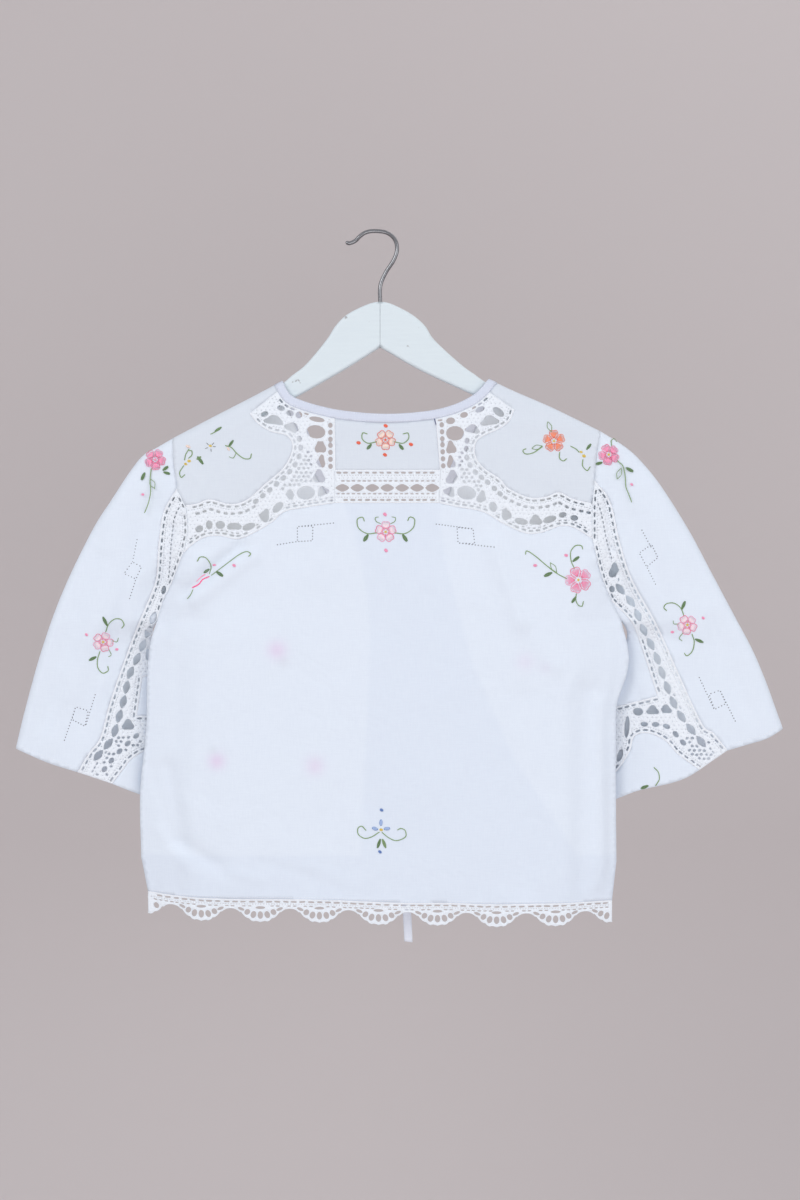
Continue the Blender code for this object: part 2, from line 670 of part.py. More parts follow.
def make_gap(across, down, wide, high, tilt, lobes):
    """The outline of one gap, an oval or a shape of two or three lobes."""
    sides = LOBE_SIDES if lobes > 1 else GAP_SIDES
    if lobes == 1 and max(wide, high) < SMALL_GAP:
        sides = SMALL_GAP_SIDES
    turn = np.linspace(0, 2 * math.pi, sides, endpoint=False) + math.pi / sides
    swell = 1 + (LOBE_DEEP * np.cos(lobes * (turn + math.pi / 2)) if lobes > 1 else 0)
    x = wide / 2 * np.cos(turn) * swell
    d = high / 2 * np.sin(turn) * swell
    lean = math.radians(tilt)
    return np.column_stack([
        across + x * math.cos(lean) - d * math.sin(lean),
        down + x * math.sin(lean) + d * math.cos(lean),
    ])


def make_run(points, count, wide, long):
    """Like gaps set evenly along a curve and turned with it."""
    line = smooth(points, FINE_STEP)
    marks = np.linspace(0, len(line) - 1, count)
    gaps = []
    for mark in marks:
        here = line[int(round(mark))]
        near = line[max(0, int(mark) - TURN_STEPS)]
        far = line[min(len(line) - 1, int(mark) + TURN_STEPS)]
        tilt = math.degrees(math.atan2(*(far - near)[::-1]))
        gaps.append(make_gap(here[0], here[1], long, wide, tilt, 1))
    return gaps


def petal_gaps(middle, level):
    """The fan of petal gaps in one scallop."""
    gaps = []
    for number in range(PETALS):
        turn = math.radians(PETAL_SPREAD * (2 * number / (PETALS - 1) - 1))
        across = middle + PETAL_REACH[0] * math.sin(turn)
        down = level + PETAL_DOWN + PETAL_REACH[1] * math.cos(turn)
        gaps.append(make_gap(across, down, PETAL_WIDE, PETAL_LONG, -math.degrees(turn) / 2, 1))
    return gaps


def make_hem(edges, names, first):
    """A scalloped lace edging below an edge: its outline and its gaps."""
    top = make_open_line(edges, names)
    left, right = top[0, 0], top[-1, 0]

    def level(across):
        return np.interp(across, top[:, 0], top[:, 1])

    begin = math.ceil((left - first) / SCALLOP_PITCH - 0.5)
    end = math.floor((right - first) / SCALLOP_PITCH + 0.5)
    low = []
    gaps = []
    for number in range(begin, end + 1):
        middle = first + number * SCALLOP_PITCH
        for step in range(SCALLOP_STEPS):
            turn = math.pi * step / SCALLOP_STEPS
            across = middle - SCALLOP_PITCH / 2 * math.cos(turn)
            if left + HEM_MARGIN < across < right - HEM_MARGIN:
                swell = math.sin(turn) ** SCALLOP_FULL
                deep = SCALLOP_VALLEY + (SCALLOP_DEEP - SCALLOP_VALLEY) * swell
                low.append((across, level(across) + deep))
        for gap in petal_gaps(middle, level(middle)):
            if gap[:, 0].min() > left + PETAL_MARGIN and gap[:, 0].max() < right - PETAL_MARGIN:
                gaps.append(gap)
    ends = []
    for across in (left, right):
        share = abs((across - first) / SCALLOP_PITCH - round((across - first) / SCALLOP_PITCH))
        deep = SCALLOP_VALLEY + (SCALLOP_DEEP - SCALLOP_VALLEY) * math.sqrt(max(0, 1 - 4 * share ** 2))
        ends.append((across, level(across) + max(deep, SCALLOP_VALLEY)))
    low = [ends[0], *low, ends[1]]
    return np.vstack([top, np.array(low)[::-1]]), gaps


def make_open_line(edges, names):
    points = []
    for name in names:
        run = edges[name[1:]][::-1] if name.startswith("-") else edges[name]
        points.extend(run if not points else run[1:])
    return np.array(points)


# One panel of cloth or lace as a closed wall

def inner_points(loop, gaps, step, panel, form):
    """Points inside the outline that carry the cloth's form."""
    low, high = loop.min(axis=0), loop.max(axis=0)
    rows = []
    for number, down in enumerate(np.arange(low[1] + step / 2, high[1], step * GRID_ROW)):
        start = low[0] + step * GRID_SHIFT[number % 2]
        rows.extend((across, down) for across in np.arange(start, high[0], step))
    groups = [np.array(rows)] if rows else []
    keep = [GRID_APART * step]
    if panel["folded"]:
        for line in form.folds.values():
            for row in FOLD_ROWS:
                moved = np.vstack([beside(line, row), beside(line, -row)])
                groups.insert(0, moved)
                keep.insert(0, row * ROW_APART)
    if step != LACE_STEP:
        for start, end, half, _ in panel["folds"]:
            line = smooth((start, end), FOLD_STEP)
            for shift in (0, half, -half):
                groups.insert(len(groups) - 1, beside(line, shift) if shift else line)
                keep.insert(len(keep) - 1, FOLD_APART)
    borders = [np.vstack([loop, loop[:1]])]
    borders += [np.vstack([gap, gap[:1]]) for gap in gaps]
    chosen = np.empty((0, 2))
    for points, apart in zip(groups, keep):
        points = points[is_inside(points, loop)]
        for gap in gaps:
            points = points[~is_inside(points, gap)]
        for border in borders:
            points = points[distance_to(points, border) > min(apart, RIM_APART * step)]
        kept = []
        for point in points:
            near = np.vstack([chosen, *kept]) if kept else chosen
            if not len(near) or np.linalg.norm(near - point, axis=1).min() > apart:
                kept.append(point[None])
        chosen = np.vstack([chosen, *kept])
    return chosen


def shrink(loop, amount):
    """How far each point of an outline moves to step in from its seams."""
    before = loop - np.roll(loop, 1, axis=0)
    after = np.roll(loop, -1, axis=0) - loop
    before /= np.linalg.norm(before, axis=1)[:, None]
    after /= np.linalg.norm(after, axis=1)[:, None]
    inward = [np.column_stack([-run[:, 1], run[:, 0]]) for run in (before, after)]
    total = inward[0] + inward[1]
    scale = amount / np.maximum(CORNER, np.sum(total * inward[0], axis=1))
    return total * scale[:, None]


def lay_wall(points, panel, form, thick):
    """Outer and inner faces of a panel at points of the plane, in the frame."""
    toward = -1.0 if panel["face"] == "back" else 1.0

    bow, tuck = form.place(points, panel)
    slopes = []
    for axis in (0, 1):
        step = np.zeros(2)
        step[axis] = SLOPE_STEP
        ahead, ahead_tuck = form.place(points + step, panel)
        behind, behind_tuck = form.place(points - step, panel)
        slope = (ahead - behind) + toward * (ahead_tuck - behind_tuck)
        slopes.append(slope / (2 * SLOPE_STEP))
    normal = np.column_stack([-slopes[0], -slopes[1], np.ones(len(points))])
    normal /= np.linalg.norm(normal, axis=1)[:, None]
    faces = []
    for half in (thick / 2, -thick / 2):
        flat = points + half * normal[:, :2]
        out = np.maximum(bow + half * normal[:, 2], GAP / 2)
        faces.append((flat, toward * out + tuck))
    return faces


def to_frame(flat, out):
    return np.column_stack([flat[:, 0], out, -flat[:, 1]]) * MM


def make_panel(panel, loop, gaps, form, material, group):
    """A closed wall through the outline, with its gaps cut through."""
    loops = [loop, *[gap[::-1] for gap in gaps]]
    moves = [shrink(loop, GAP / 2), *[np.zeros_like(gap) for gap in gaps]]
    inside = inner_points(loop, gaps, panel["step"], panel, form)
    points = np.vstack([*loops, inside])
    moved = np.vstack([*moves, np.zeros_like(inside)])
    rims = []
    count = 0
    for rim in loops:
        rims.append(list(range(count, count + len(rim))))
        count += len(rim)
    lines = [(rim[i - 1], rim[i]) for rim in rims for i in range(len(rim))]
    result = delaunay_2d_cdt([Vector(point) for point in points], lines, [], 0, SURE)
    spots, faces = result[0], result[2]
    if len(spots) != len(points):
        raise ValueError("an outline of %s crosses itself" % panel["name"])
    centres = np.array([np.mean([spots[i][:] for i in face], axis=0) for face in faces])
    keep = is_inside(centres, loop) & (face_areas(points, faces) > SLIVER)
    for gap in gaps:
        keep &= ~is_inside(centres, gap)
    faces = [list(face) for face, kept in zip(faces, keep) if kept]
    (outer, outer_out), (inner, inner_out) = lay_wall(points, panel, form, panel["thick"])
    verts = np.vstack([to_frame(outer + moved, outer_out), to_frame(inner + moved, inner_out)])
    total = len(points)
    back = panel["face"] == "back"
    solid = []
    for face in faces:
        solid.append(face if back else face[::-1])
        other = [i + total for i in face]
        solid.append(other[::-1] if back else other)
    for rim in rims:
        for i in range(len(rim)):
            one, two = rim[i - 1], rim[i]
            quad = [one, two, two + total, one + total]
            solid.append(quad[::-1] if back else quad)
    mesh = bpy.data.meshes.new(panel["name"])
    mesh.from_pydata(verts.tolist(), [], solid)
    face_out(mesh)
    mesh.materials.append(material)
    thing = bpy.data.objects.new(panel["name"], mesh)
    group.objects.link(thing)
    return thing


def face_areas(points, faces):
    """Area of each triangle in the plane."""
    one, two, three = (points[[face[i] for face in faces]] for i in range(3))
    wide, long = two - one, three - one
    return abs(wide[:, 0] * long[:, 1] - wide[:, 1] * long[:, 0]) / 2


def face_out(mesh):
    """Turn the whole wall inside out if it encloses less than nothing."""
    volume = 0.0
    for polygon in mesh.polygons:
        first = mesh.vertices[polygon.vertices[0]].co
        for one, two in zip(polygon.vertices[1:-1], polygon.vertices[2:]):
            volume += first.dot(mesh.vertices[one].co.cross(mesh.vertices[two].co))
    if volume < 0:
        mesh.flip_normals()


# The pieces: face, form, thick, step, material, edges in turn.

def list_panels():
    rows = [
        ("back_body", "back", "body", "cotton", (
            "-yoke_low_left", "ladder_low", "yoke_low_right", "armhole_d_right",
            "armhole_e_right", "side_a_right", "side_b_right", "-hem_back",
            "-side_b_left", "-side_a_left", "-armhole_d_left",
        )),
        ("back_neck_patch", "back", "body", "cotton", (
            "neck_low_2", "patch_side_right", "-patch_low", "-patch_side_left",
        )),
        ("back_ladder_lace", "back", "body", "lace", (
            "patch_low", "ladder_end_right", "-ladder_low", "-ladder_end_left",
        )),
        ("left_shoulder_cloth", "back", "body", "cotton", (
            "neck_low_0", "yoke_end_left", "yoke_up_left", "-armhole_b_left",
            "-armhole_a_left", "-shoulder_left",
        )),
        ("right_shoulder_cloth", "back", "body", "cotton", (
            "-neck_low_4", "yoke_end_right", "yoke_up_right", "-armhole_b_right",
            "-armhole_a_right", "-shoulder_right",
        )),
        ("left_yoke_lace", "back", "body", "lace", (
            "neck_low_1", "patch_side_left", "ladder_end_left", "yoke_low_left",
            "-armhole_c_left", "-yoke_up_left", "-yoke_end_left",
        )),
        ("right_yoke_lace", "back", "body", "lace", (
            "-neck_low_3", "patch_side_right", "ladder_end_right", "yoke_low_right",
            "-armhole_c_right", "-yoke_up_right", "-yoke_end_right",
        )),
        ("back_neck_binding", "back", "body", "binding", (
            "neck", "band_top_right", "-neck_low_4", "-neck_low_3", "-neck_low_2",
            "-neck_low_1", "-neck_low_0", "-band_top_left",
        )),
    ]
    for side in ("left", "right"):
        right = side == "right"
        armhole = ["armhole_%s_%s" % (part, side) for part in ("abcde" if right else "abcd")]
        under_top = () if right else ("-under_top_left",)
        inner = ["inner_%s_%s" % (part, side) for part in ("acd" if right else "abcd")]
        rows += [
            (side + "_front", "front", "body", "cotton", (
                "front_edge_" + side, "-hem_front_left" if not right else "hem_front_right",
                "-side_a_" + side, *["-" + name for name in reversed(armhole)],
                "-shoulder_" + side,
            )),
            (side + "_front_binding", "front", "body", "binding", (
                "opening_" + side, "-band_low_" + side, "-front_edge_" + side,
                "-band_top_" + side,
            )),
            (side + "_sleeve_cloth", "back", side, "cotton", (
                "sleeve_fold_" + side, "cuff_cloth_" + side, "-sleeve_lace_" + side,
                "-armhole_a_" + side,
            )),
            (side + "_sleeve_lace", "back", side, "lace", (
                "sleeve_lace_" + side, "cuff_lace_" + side, "scallop_" + side,
                "-inner_c_" + side, "-under_low_" + side, "-under_side_" + side,
                *(() if right else ("under_top_left", "-inner_a_left")),
                *["-" + name for name in reversed(armhole[1:4])],
            )),
            (side + "_sleeve_underarm_cloth", "back", side, "cotton", (
                ("under_side_right", "under_low_right", "-inner_a_right", "-armhole_e_right")
                if right else
                ("under_side_left", "under_low_left", "-inner_b_left", "-under_top_left")
            )),
            (side + "_sleeve_cuff_cloth", "back", side, "cotton", (
                "scallop_" + side, "inner_d_" + side, "-cuff_under_" + side,
            )),
            (side + "_sleeve_front", "front", side, "cotton", (
                "sleeve_fold_" + side, "cuff_cloth_" + side, "cuff_lace_" + side,
                "cuff_under_" + side, *["-" + name for name in reversed(inner)],
                *["-" + name for name in reversed(armhole)],
            )),
        ]
    panels = []
    for name, face, form, kind, names in rows:
        folds = SLEEVE_FOLDS if form != "body" else (BACK_FOLDS if face == "back" else FRONT_FOLDS)
        panels.append({
            "name": name, "face": face, "form": form, "kind": kind, "edges": names,
            "thick": BAND if kind == "binding" else CLOTH,
            "step": LACE_STEP if kind != "cotton" else COTTON_STEPS[face],
            "folded": any("fold" in n or "shoulder" in n or "band_top" in n for n in names),
            "folds": folds,
        })
    for name, face, names in (
        ("back_hem_lace", "back", ("hem_back",)),
        ("left_front_hem_lace", "front", ("hem_front_left", "band_low_left")),
        ("right_front_hem_lace", "front", ("-band_low_right", "hem_front_right")),
    ):
        panels.append({
            "name": name, "face": face, "form": "body", "kind": "lace", "edges": names,
            "thick": CLOTH, "step": LACE_STEP, "folded": False, "folds": (), "hem": True,
        })
    return panels


def make_cloth(edges, form, materials, group):
    for panel in list_panels():
        name = panel["name"]
        if panel.get("hem"):
            loop, gaps = make_hem(edges, panel["edges"], HEMS[name])
            ahead = np.roll(loop, -1, axis=0)
            if np.sum(loop[:, 0] * ahead[:, 1] - ahead[:, 0] * loop[:, 1]) < 0:
                loop = loop[::-1]
        else:
            loop = make_loop(edges, panel["edges"])
            gaps = [make_gap(*row) for row in LACE_GAPS.get(name, ())]
            for run in GAP_RUNS.get(name, ()):
                gaps += make_run(*run)
        make_panel(panel, loop, gaps, form, materials[panel["kind"]], group)


# The hanger, its hook and the tie tapes

def make_hanger(material, group, cutters):
    """The wooden hanger as one board with rounded edges and a socket for the hook."""
    loop = np.vstack([
        smooth(HANGER_TOP_RIGHT, HANGER_STEP), smooth(HANGER_LOW_RIGHT, HANGER_STEP)[:-1],
        smooth(HANGER_LOW_LEFT, HANGER_STEP)[::-1], smooth(HANGER_TOP_LEFT, HANGER_STEP)[::-1][:-1],
    ])
    half = HANGER_DEEP / 2
    count = len(loop)
    verts = np.vstack([
        to_frame(loop, np.full(count, -half)), to_frame(loop, np.full(count, half))])
    faces = [list(range(count)), list(range(2 * count - 1, count - 1, -1))]
    for i in range(count):
        faces.append([i, (i - 1) % count, (i - 1) % count + count, i + count])
    mesh = bpy.data.meshes.new("hanger_body")
    mesh.from_pydata(verts.tolist(), [], faces)
    face_out(mesh)
    mesh.materials.append(material)
    board = bpy.data.objects.new("hanger_body", mesh)
    group.objects.link(board)
    bevel = board.modifiers.new("rounded edges", "BEVEL")
    bevel.width = HANGER_ROUND * MM
    bevel.segments = ROUND_PARTS
    bevel.limit_method = "ANGLE"
    bevel.angle_limit = math.radians(ROUND_ANGLE)
    top = HANGER_TOP_LEFT[0]
    bpy.ops.mesh.primitive_cylinder_add(
        vertices=SOCKET_SIDES, radius=(WIRE + GAP) * MM, depth=2 * (SOCKET_DEEP + GAP) * MM,
        location=(top[0] * MM, 0, -top[1] * MM))
    cutter = bpy.context.object
    cutter.name = "socket_cutter"
    for owner in list(cutter.users_collection):
        owner.objects.unlink(cutter)
    cutters.objects.link(cutter)
    cutter.hide_render = True
    cutter.display_type = "WIRE"
    cut = board.modifiers.new("hook socket", "BOOLEAN")
    cut.operation = "DIFFERENCE"
    cut.solver = "EXACT"
    cut.object = cutter
    return board


def make_hook(material, group):
    """The swan-neck hook, a round wire bent in one plane."""
    route = smooth(HOOK, FINE_STEP)
    marks = np.linspace(0, len(route) - 1, HOOK_POINTS)
    curve = bpy.data.curves.new("hanger_hook", "CURVE")
    curve.dimensions = "3D"
    curve.bevel_depth = WIRE * MM
    curve.bevel_resolution = WIRE_ROUND
    curve.use_fill_caps = True
    line = curve.splines.new("POLY")
    line.points.add(HOOK_POINTS - 1)
    for number, mark in enumerate(marks):
        across = np.interp(mark, range(len(route)), route[:, 0])
        down = np.interp(mark, range(len(route)), route[:, 1])
        line.points[number].co = (across * MM, 0, -down * MM, 1)
    curve.materials.append(material)
    hook = bpy.data.objects.new("hanger_hook", curve)
    group.objects.link(hook)
    return hook


def make_tie(name, points, form, material, group):
    """A flat tape that lies on the front binding and hangs from it."""
    top = form.body(np.array(points[:1], float), FRONT_FOLDS)[0]
    out = top + BAND / 2 + GAP + TIE_THICK / 2
    line = smooth(points, FINE_STEP)
    marks = np.linspace(0, len(line) - 1, TIE_POINTS).round().astype(int)
    line = line[marks]
    verts = []
    for edge, face in ((1, -1), (1, 1), (-1, 1), (-1, -1)):
        side = beside(line, edge * TIE_WIDE / 2)
        verts.append(to_frame(side, np.full(len(line), out + face * TIE_THICK / 2)))
    verts = np.vstack(verts)
    count = len(line)
    faces = [[0, count, 2 * count, 3 * count]]
    faces.append([4 * count - 1, 3 * count - 1, 2 * count - 1, count - 1])
    for edge in range(4):
        here, there = edge * count, (edge + 1) % 4 * count
        for i in range(count - 1):
            faces.append([here + i, here + i + 1, there + i + 1, there + i])
    mesh = bpy.data.meshes.new(name)
    mesh.from_pydata(verts.tolist(), [], faces)
    face_out(mesh)
    mesh.materials.append(material)
    tie = bpy.data.objects.new(name, mesh)
    group.objects.link(tie)
    return tie


def main():
    clear_scene()
    group = make_collection("cropped_blouse_on_hanger")
    cutters = make_collection("cutters")
    materials = {kind: make_material(kind, kind) for kind in COLOURS}
    edges = make_edges()
    form = Form(edges)
    make_hanger(materials["painted_wood"], group, cutters)
    make_hook(materials["chrome"], group)
    make_cloth(edges, form, materials, group)
    for name, points in TIES.items():
        make_tie(name, points, form, materials["binding"], group)


main()
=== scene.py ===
# Looks of a cropped cotton blouse with crochet insertions, hung on a wooden hanger.
# Places are "across, down" in millimetres from the inside of the hook's crown:
# across runs along +X and down along -Z. The back faces -Y and the fronts face +Y.
import math
import random

import bpy
import numpy as np
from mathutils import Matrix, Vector
from mathutils.geometry import delaunay_2d_cdt


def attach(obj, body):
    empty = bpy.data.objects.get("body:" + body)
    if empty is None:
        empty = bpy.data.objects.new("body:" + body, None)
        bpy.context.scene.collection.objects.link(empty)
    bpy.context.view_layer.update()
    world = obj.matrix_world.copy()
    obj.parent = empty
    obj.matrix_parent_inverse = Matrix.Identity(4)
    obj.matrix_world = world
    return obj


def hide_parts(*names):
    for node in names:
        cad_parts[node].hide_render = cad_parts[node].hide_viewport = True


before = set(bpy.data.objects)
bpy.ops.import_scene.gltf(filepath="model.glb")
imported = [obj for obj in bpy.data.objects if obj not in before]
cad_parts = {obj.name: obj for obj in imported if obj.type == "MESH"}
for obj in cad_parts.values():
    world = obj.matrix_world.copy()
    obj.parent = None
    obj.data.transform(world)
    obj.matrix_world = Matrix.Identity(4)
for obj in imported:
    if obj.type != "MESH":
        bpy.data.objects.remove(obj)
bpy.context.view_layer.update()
mm = 0.001


def toFrame(flat, out):
    return np.column_stack([flat[:, 0], out, -flat[:, 1]]) * mm


def tone(red, green, blue):
    # A colour as read on a screen, from 0 to 255, in the linear values that shaders take
    return (*[(value / 255) ** 2.2 for value in (red, green, blue)], 1.0)


# Helpers

def feed(tree, node, inputs):
    # Each input takes a value, or the output that it is linked from
    for label, value in inputs.items():
        if isinstance(value, bpy.types.NodeSocket):
            tree.links.new(value, node.inputs[label])
        else:
            node.inputs[label].default_value = value


def addNode(tree, kind, place, inputs=None, **settings):
    node = tree.nodes.new(kind)
    node.location = place
    for name, value in settings.items():
        setattr(node, name, value)
    feed(tree, node, inputs or {})
    return node


def addMath(tree, place, operation, *values):
    node = addNode(tree, "ShaderNodeMath", place, dict(enumerate(values)), operation=operation)
    return node.outputs[0]


def addMix(tree, place, share, one, two, blend="MIX"):
    node = addNode(tree, "ShaderNodeMix", place, {"Factor": share, 6: one, 7: two},
                   data_type="RGBA", blend_type=blend)
    return node.outputs[2]


def addRange(tree, place, value, ends):
    inputs = {"Value": value, **ends}
    return addNode(tree, "ShaderNodeMapRange", place, inputs).outputs["Result"]


def startMaterial(name, inputs):
    material = bpy.data.materials.new(name)
    material.use_nodes = True
    tree = material.node_tree
    shader = tree.nodes["Principled BSDF"]
    feed(tree, shader, inputs)
    return material, tree, shader


def makeThing(name, verts, edges, faces):
    mesh = bpy.data.meshes.new(name)
    mesh.from_pydata(verts, edges, faces)
    thing = bpy.data.objects.new(name, mesh)
    bpy.context.scene.collection.objects.link(thing)
    return thing, mesh


def setPoints(mesh, label, kind, field, values):
    # A fact of each point of a mesh
    values = np.ascontiguousarray(values, np.float32).ravel()
    mesh.attributes.new(label, kind, "POINT").data.foreach_set(field, values)


# Camera, floor and light

camera = {
    "lens": 80.0,
    "sensor": 36.0,
    "middle": (25.0, 369.0),  # across and down at the middle of the picture
    "longSide": 1200.0,  # what the picture's long side spans at the cloth
    "clothAt": -14.0,  # how far in front of the middle plane the cloth stands
}


def makeCamera():
    data = bpy.data.cameras.new("photoCamera")
    data.lens = camera["lens"]
    data.sensor_width = camera["sensor"]
    away = camera["lens"] / camera["sensor"] * camera["longSide"] - camera["clothAt"]
    data.clip_start = 0.05
    data.clip_end = 60.0
    thing = bpy.data.objects.new("photoCamera", data)
    across, down = camera["middle"]
    thing.location = (across * mm, -away * mm, -down * mm)
    thing.rotation_euler = (math.pi / 2, 0, 0)
    bpy.context.scene.collection.objects.link(thing)
    bpy.context.scene.camera = thing


studio = {
    "floorDown": 1.42,  # metres below the hook
    "wallBack": 1.15,  # metres behind the hanger
    "wallUp": 2.4,
    "bend": 0.7,
    "side": 4.2,
    "front": 4.6,
    "paper": tone(198, 191, 191),
    "worldColour": tone(246, 246, 250),
    "worldPower": 0.74,
    "insideColour": (1.0, 0.84, 0.66),
    # name, place, size, power, aims at
    "lamps": (
        ("keyLamp", (-1.9, -2.6, 1.1), 1.8, 26.5, (0.0, 0.0, -0.4)),
        ("fillLamp", (2.3, -2.3, 0.0), 2.2, 15.5, (0.05, 0.0, -0.5)),
        ("lowLamp", (0.2, -2.2, -1.1), 1.6, 11.0, (0.05, 0.0, -0.7)),
        ("backLamp", (0.9, 1.0, 1.2), 1.4, 8.0, (0.0, 0.0, -0.35)),
    ),
    # Inside the garment, for the daylight that comes through thin cotton: name, place, wide,
    # high, power and lean in degrees
    "insideLamps": (
        ("bodyGlow", (0.0, 0.002, -0.415), 0.38, 0.48, 0.165, 0.0),
        ("leftSleeveGlow", (-0.300, 0.006, -0.39), 0.04, 0.26, 0.062, 20.0),
        ("rightSleeveGlow", (0.308, 0.008, -0.375), 0.04, 0.22, 0.056, -20.0),
    ),
}


def makePaper():
    # Paper that shows from its lit side only, so that the cloth can be seen from all round
    material, tree, shader = startMaterial("studioPaper", {
        "Base Color": studio["paper"], "Roughness": 0.95})
    side = addNode(tree, "ShaderNodeNewGeometry", (-200, 300))
    clear = addNode(tree, "ShaderNodeBsdfTransparent", (0, -300))
    mix = addNode(tree, "ShaderNodeMixShader", (300, 200), {
        0: side.outputs["Backfacing"], 1: shader.outputs["BSDF"], 2: clear.outputs["BSDF"]})
    feed(tree, tree.nodes["Material Output"], {"Surface": mix.outputs["Shader"]})
    return material


def makeLamp(name, place, shape, wide, high, power):
    data = bpy.data.lights.new(name, "AREA")
    data.shape = shape
    data.size, data.size_y = wide, high
    data.energy = power
    lamp = bpy.data.objects.new(name, data)
    lamp.location = place
    bpy.context.scene.collection.objects.link(lamp)
    return lamp


def makeStudio():
    scene = bpy.context.scene
    world = bpy.data.worlds.new("studio")
    world.use_nodes = True
    feed(world.node_tree, world.node_tree.nodes["Background"], {
        "Color": studio["worldColour"], "Strength": studio["worldPower"]})
    scene.world = world
    scene.view_settings.view_transform = "Standard"
    for name, place, size, power, target in studio["lamps"]:
        lamp = makeLamp(name, place, "DISK", size, size, power)
        aim = Vector(target) - Vector(place)
        lamp.rotation_euler = aim.to_track_quat("-Z", "Y").to_euler()
    for name, place, wide, high, power, lean in studio["insideLamps"]:
        lamp = makeLamp(name, place, "RECTANGLE", wide, high, power)
        lamp.data.color = studio["insideColour"]
        lamp.rotation_euler = (math.pi / 2, math.radians(lean), 0)
        lamp.visible_camera = False
    # One sheet of paper: flat floor, a round bend and a wall
    back, bend, low = studio["wallBack"], studio["bend"], -studio["floorDown"]
    row = [(-studio["front"], low), (back - bend, low)]
    for part in range(1, 13):
        turn = math.pi / 2 * part / 12
        row.append((back - bend + bend * math.sin(turn), low + bend - bend * math.cos(turn)))
    row.append((back, studio["wallUp"]))
    verts = [(side * studio["side"], y, z) for y, z in row for side in (-1, 1)]
    faces = [(2 * i, 2 * i + 1, 2 * i + 3, 2 * i + 2) for i in range(len(row) - 1)]
    sweep, mesh = makeThing("paperSweep", verts, [], faces)
    mesh.shade_smooth()
    mesh.materials.append(makePaper())


makeCamera()
makeStudio()
print("stage: camera, floor and lights")


# The garment's places, seams and folds

places = {
    "neck_left": (-93, 149), "band_left": (-101, 153.2), "opening_low_left": (-14, 627),
    "front_low_left": (-23, 626.5), "armhole_top_left": (-203, 206.5),
    "sleeve_lace_top_left": (-198, 258), "yoke_up_end_left": (-189, 275),
    "yoke_low_end_left": (-191, 321), "underarm_left": (-218.5, 388),
    "side_front_left": (-235, 627), "hem_left": (-228, 662),
    "yoke_tip_left": (-125, 182), "patch_low_left": (-40, 239.5), "ladder_low_left": (-40, 271.5),
    "cuff_out_left": (-361.5, 518), "cuff_lace_out_left": (-298, 542),
    "cuff_lace_in_left": (-265, 553.5), "cuff_in_left": (-203, 575),
    "under_corner_left": (-235.5, 446), "under_top_left": (-217, 444),
    "under_heel_left": (-241, 486), "under_low_left": (-212, 487.5),
    "scallop_in_left": (-208, 515), "neck_right": (114, 147), "band_right": (122, 151),
    "opening_low_right": (202, 626), "front_low_right": (211, 627),
    "armhole_top_right": (226, 199.5), "sleeve_lace_top_right": (219.5, 250),
    "yoke_up_end_right": (217, 273), "yoke_low_end_right": (217, 307),
    "under_lace_right": (237, 369), "underarm_right": (247, 389),
    "side_front_right": (242.5, 631), "hem_right": (238, 671),
    "yoke_tip_right": (139, 178), "patch_low_right": (65.5, 239.5),
    "ladder_low_right": (64, 271.5), "cuff_out_right": (410, 498),
    "cuff_lace_out_right": (353, 520), "cuff_lace_in_right": (326, 539),
    "cuff_in_right": (223, 577), "under_heel_right": (284.5, 466), "under_low_right": (229, 480),
    "scallop_in_right": (225, 555),
}

neckLine = (
    (-93, 149), (-85, 163), (-74, 169), (-55, 175), (-30, 180), (10, 183),
    (50, 180.5), (75, 175), (93, 167), (104, 159), (114, 147),
)
neckSplits = (-98, -41, 63, 114)   # where pieces below the neck binding meet, as places across
openings = {
    "left": ((-93, 149), (-70, 194), (-53, 237), (-43, 254), (-30, 276), (-17, 317), (-7, 369),
        (-5, 409), (-8, 489), (-12, 569), (-14, 627)),
    "right": ((114, 147), (90, 199), (77, 232), (68, 252), (64, 274), (68, 314), (78, 359),
        (98, 432), (122, 489), (139, 526), (168, 572), (202, 626)),
}

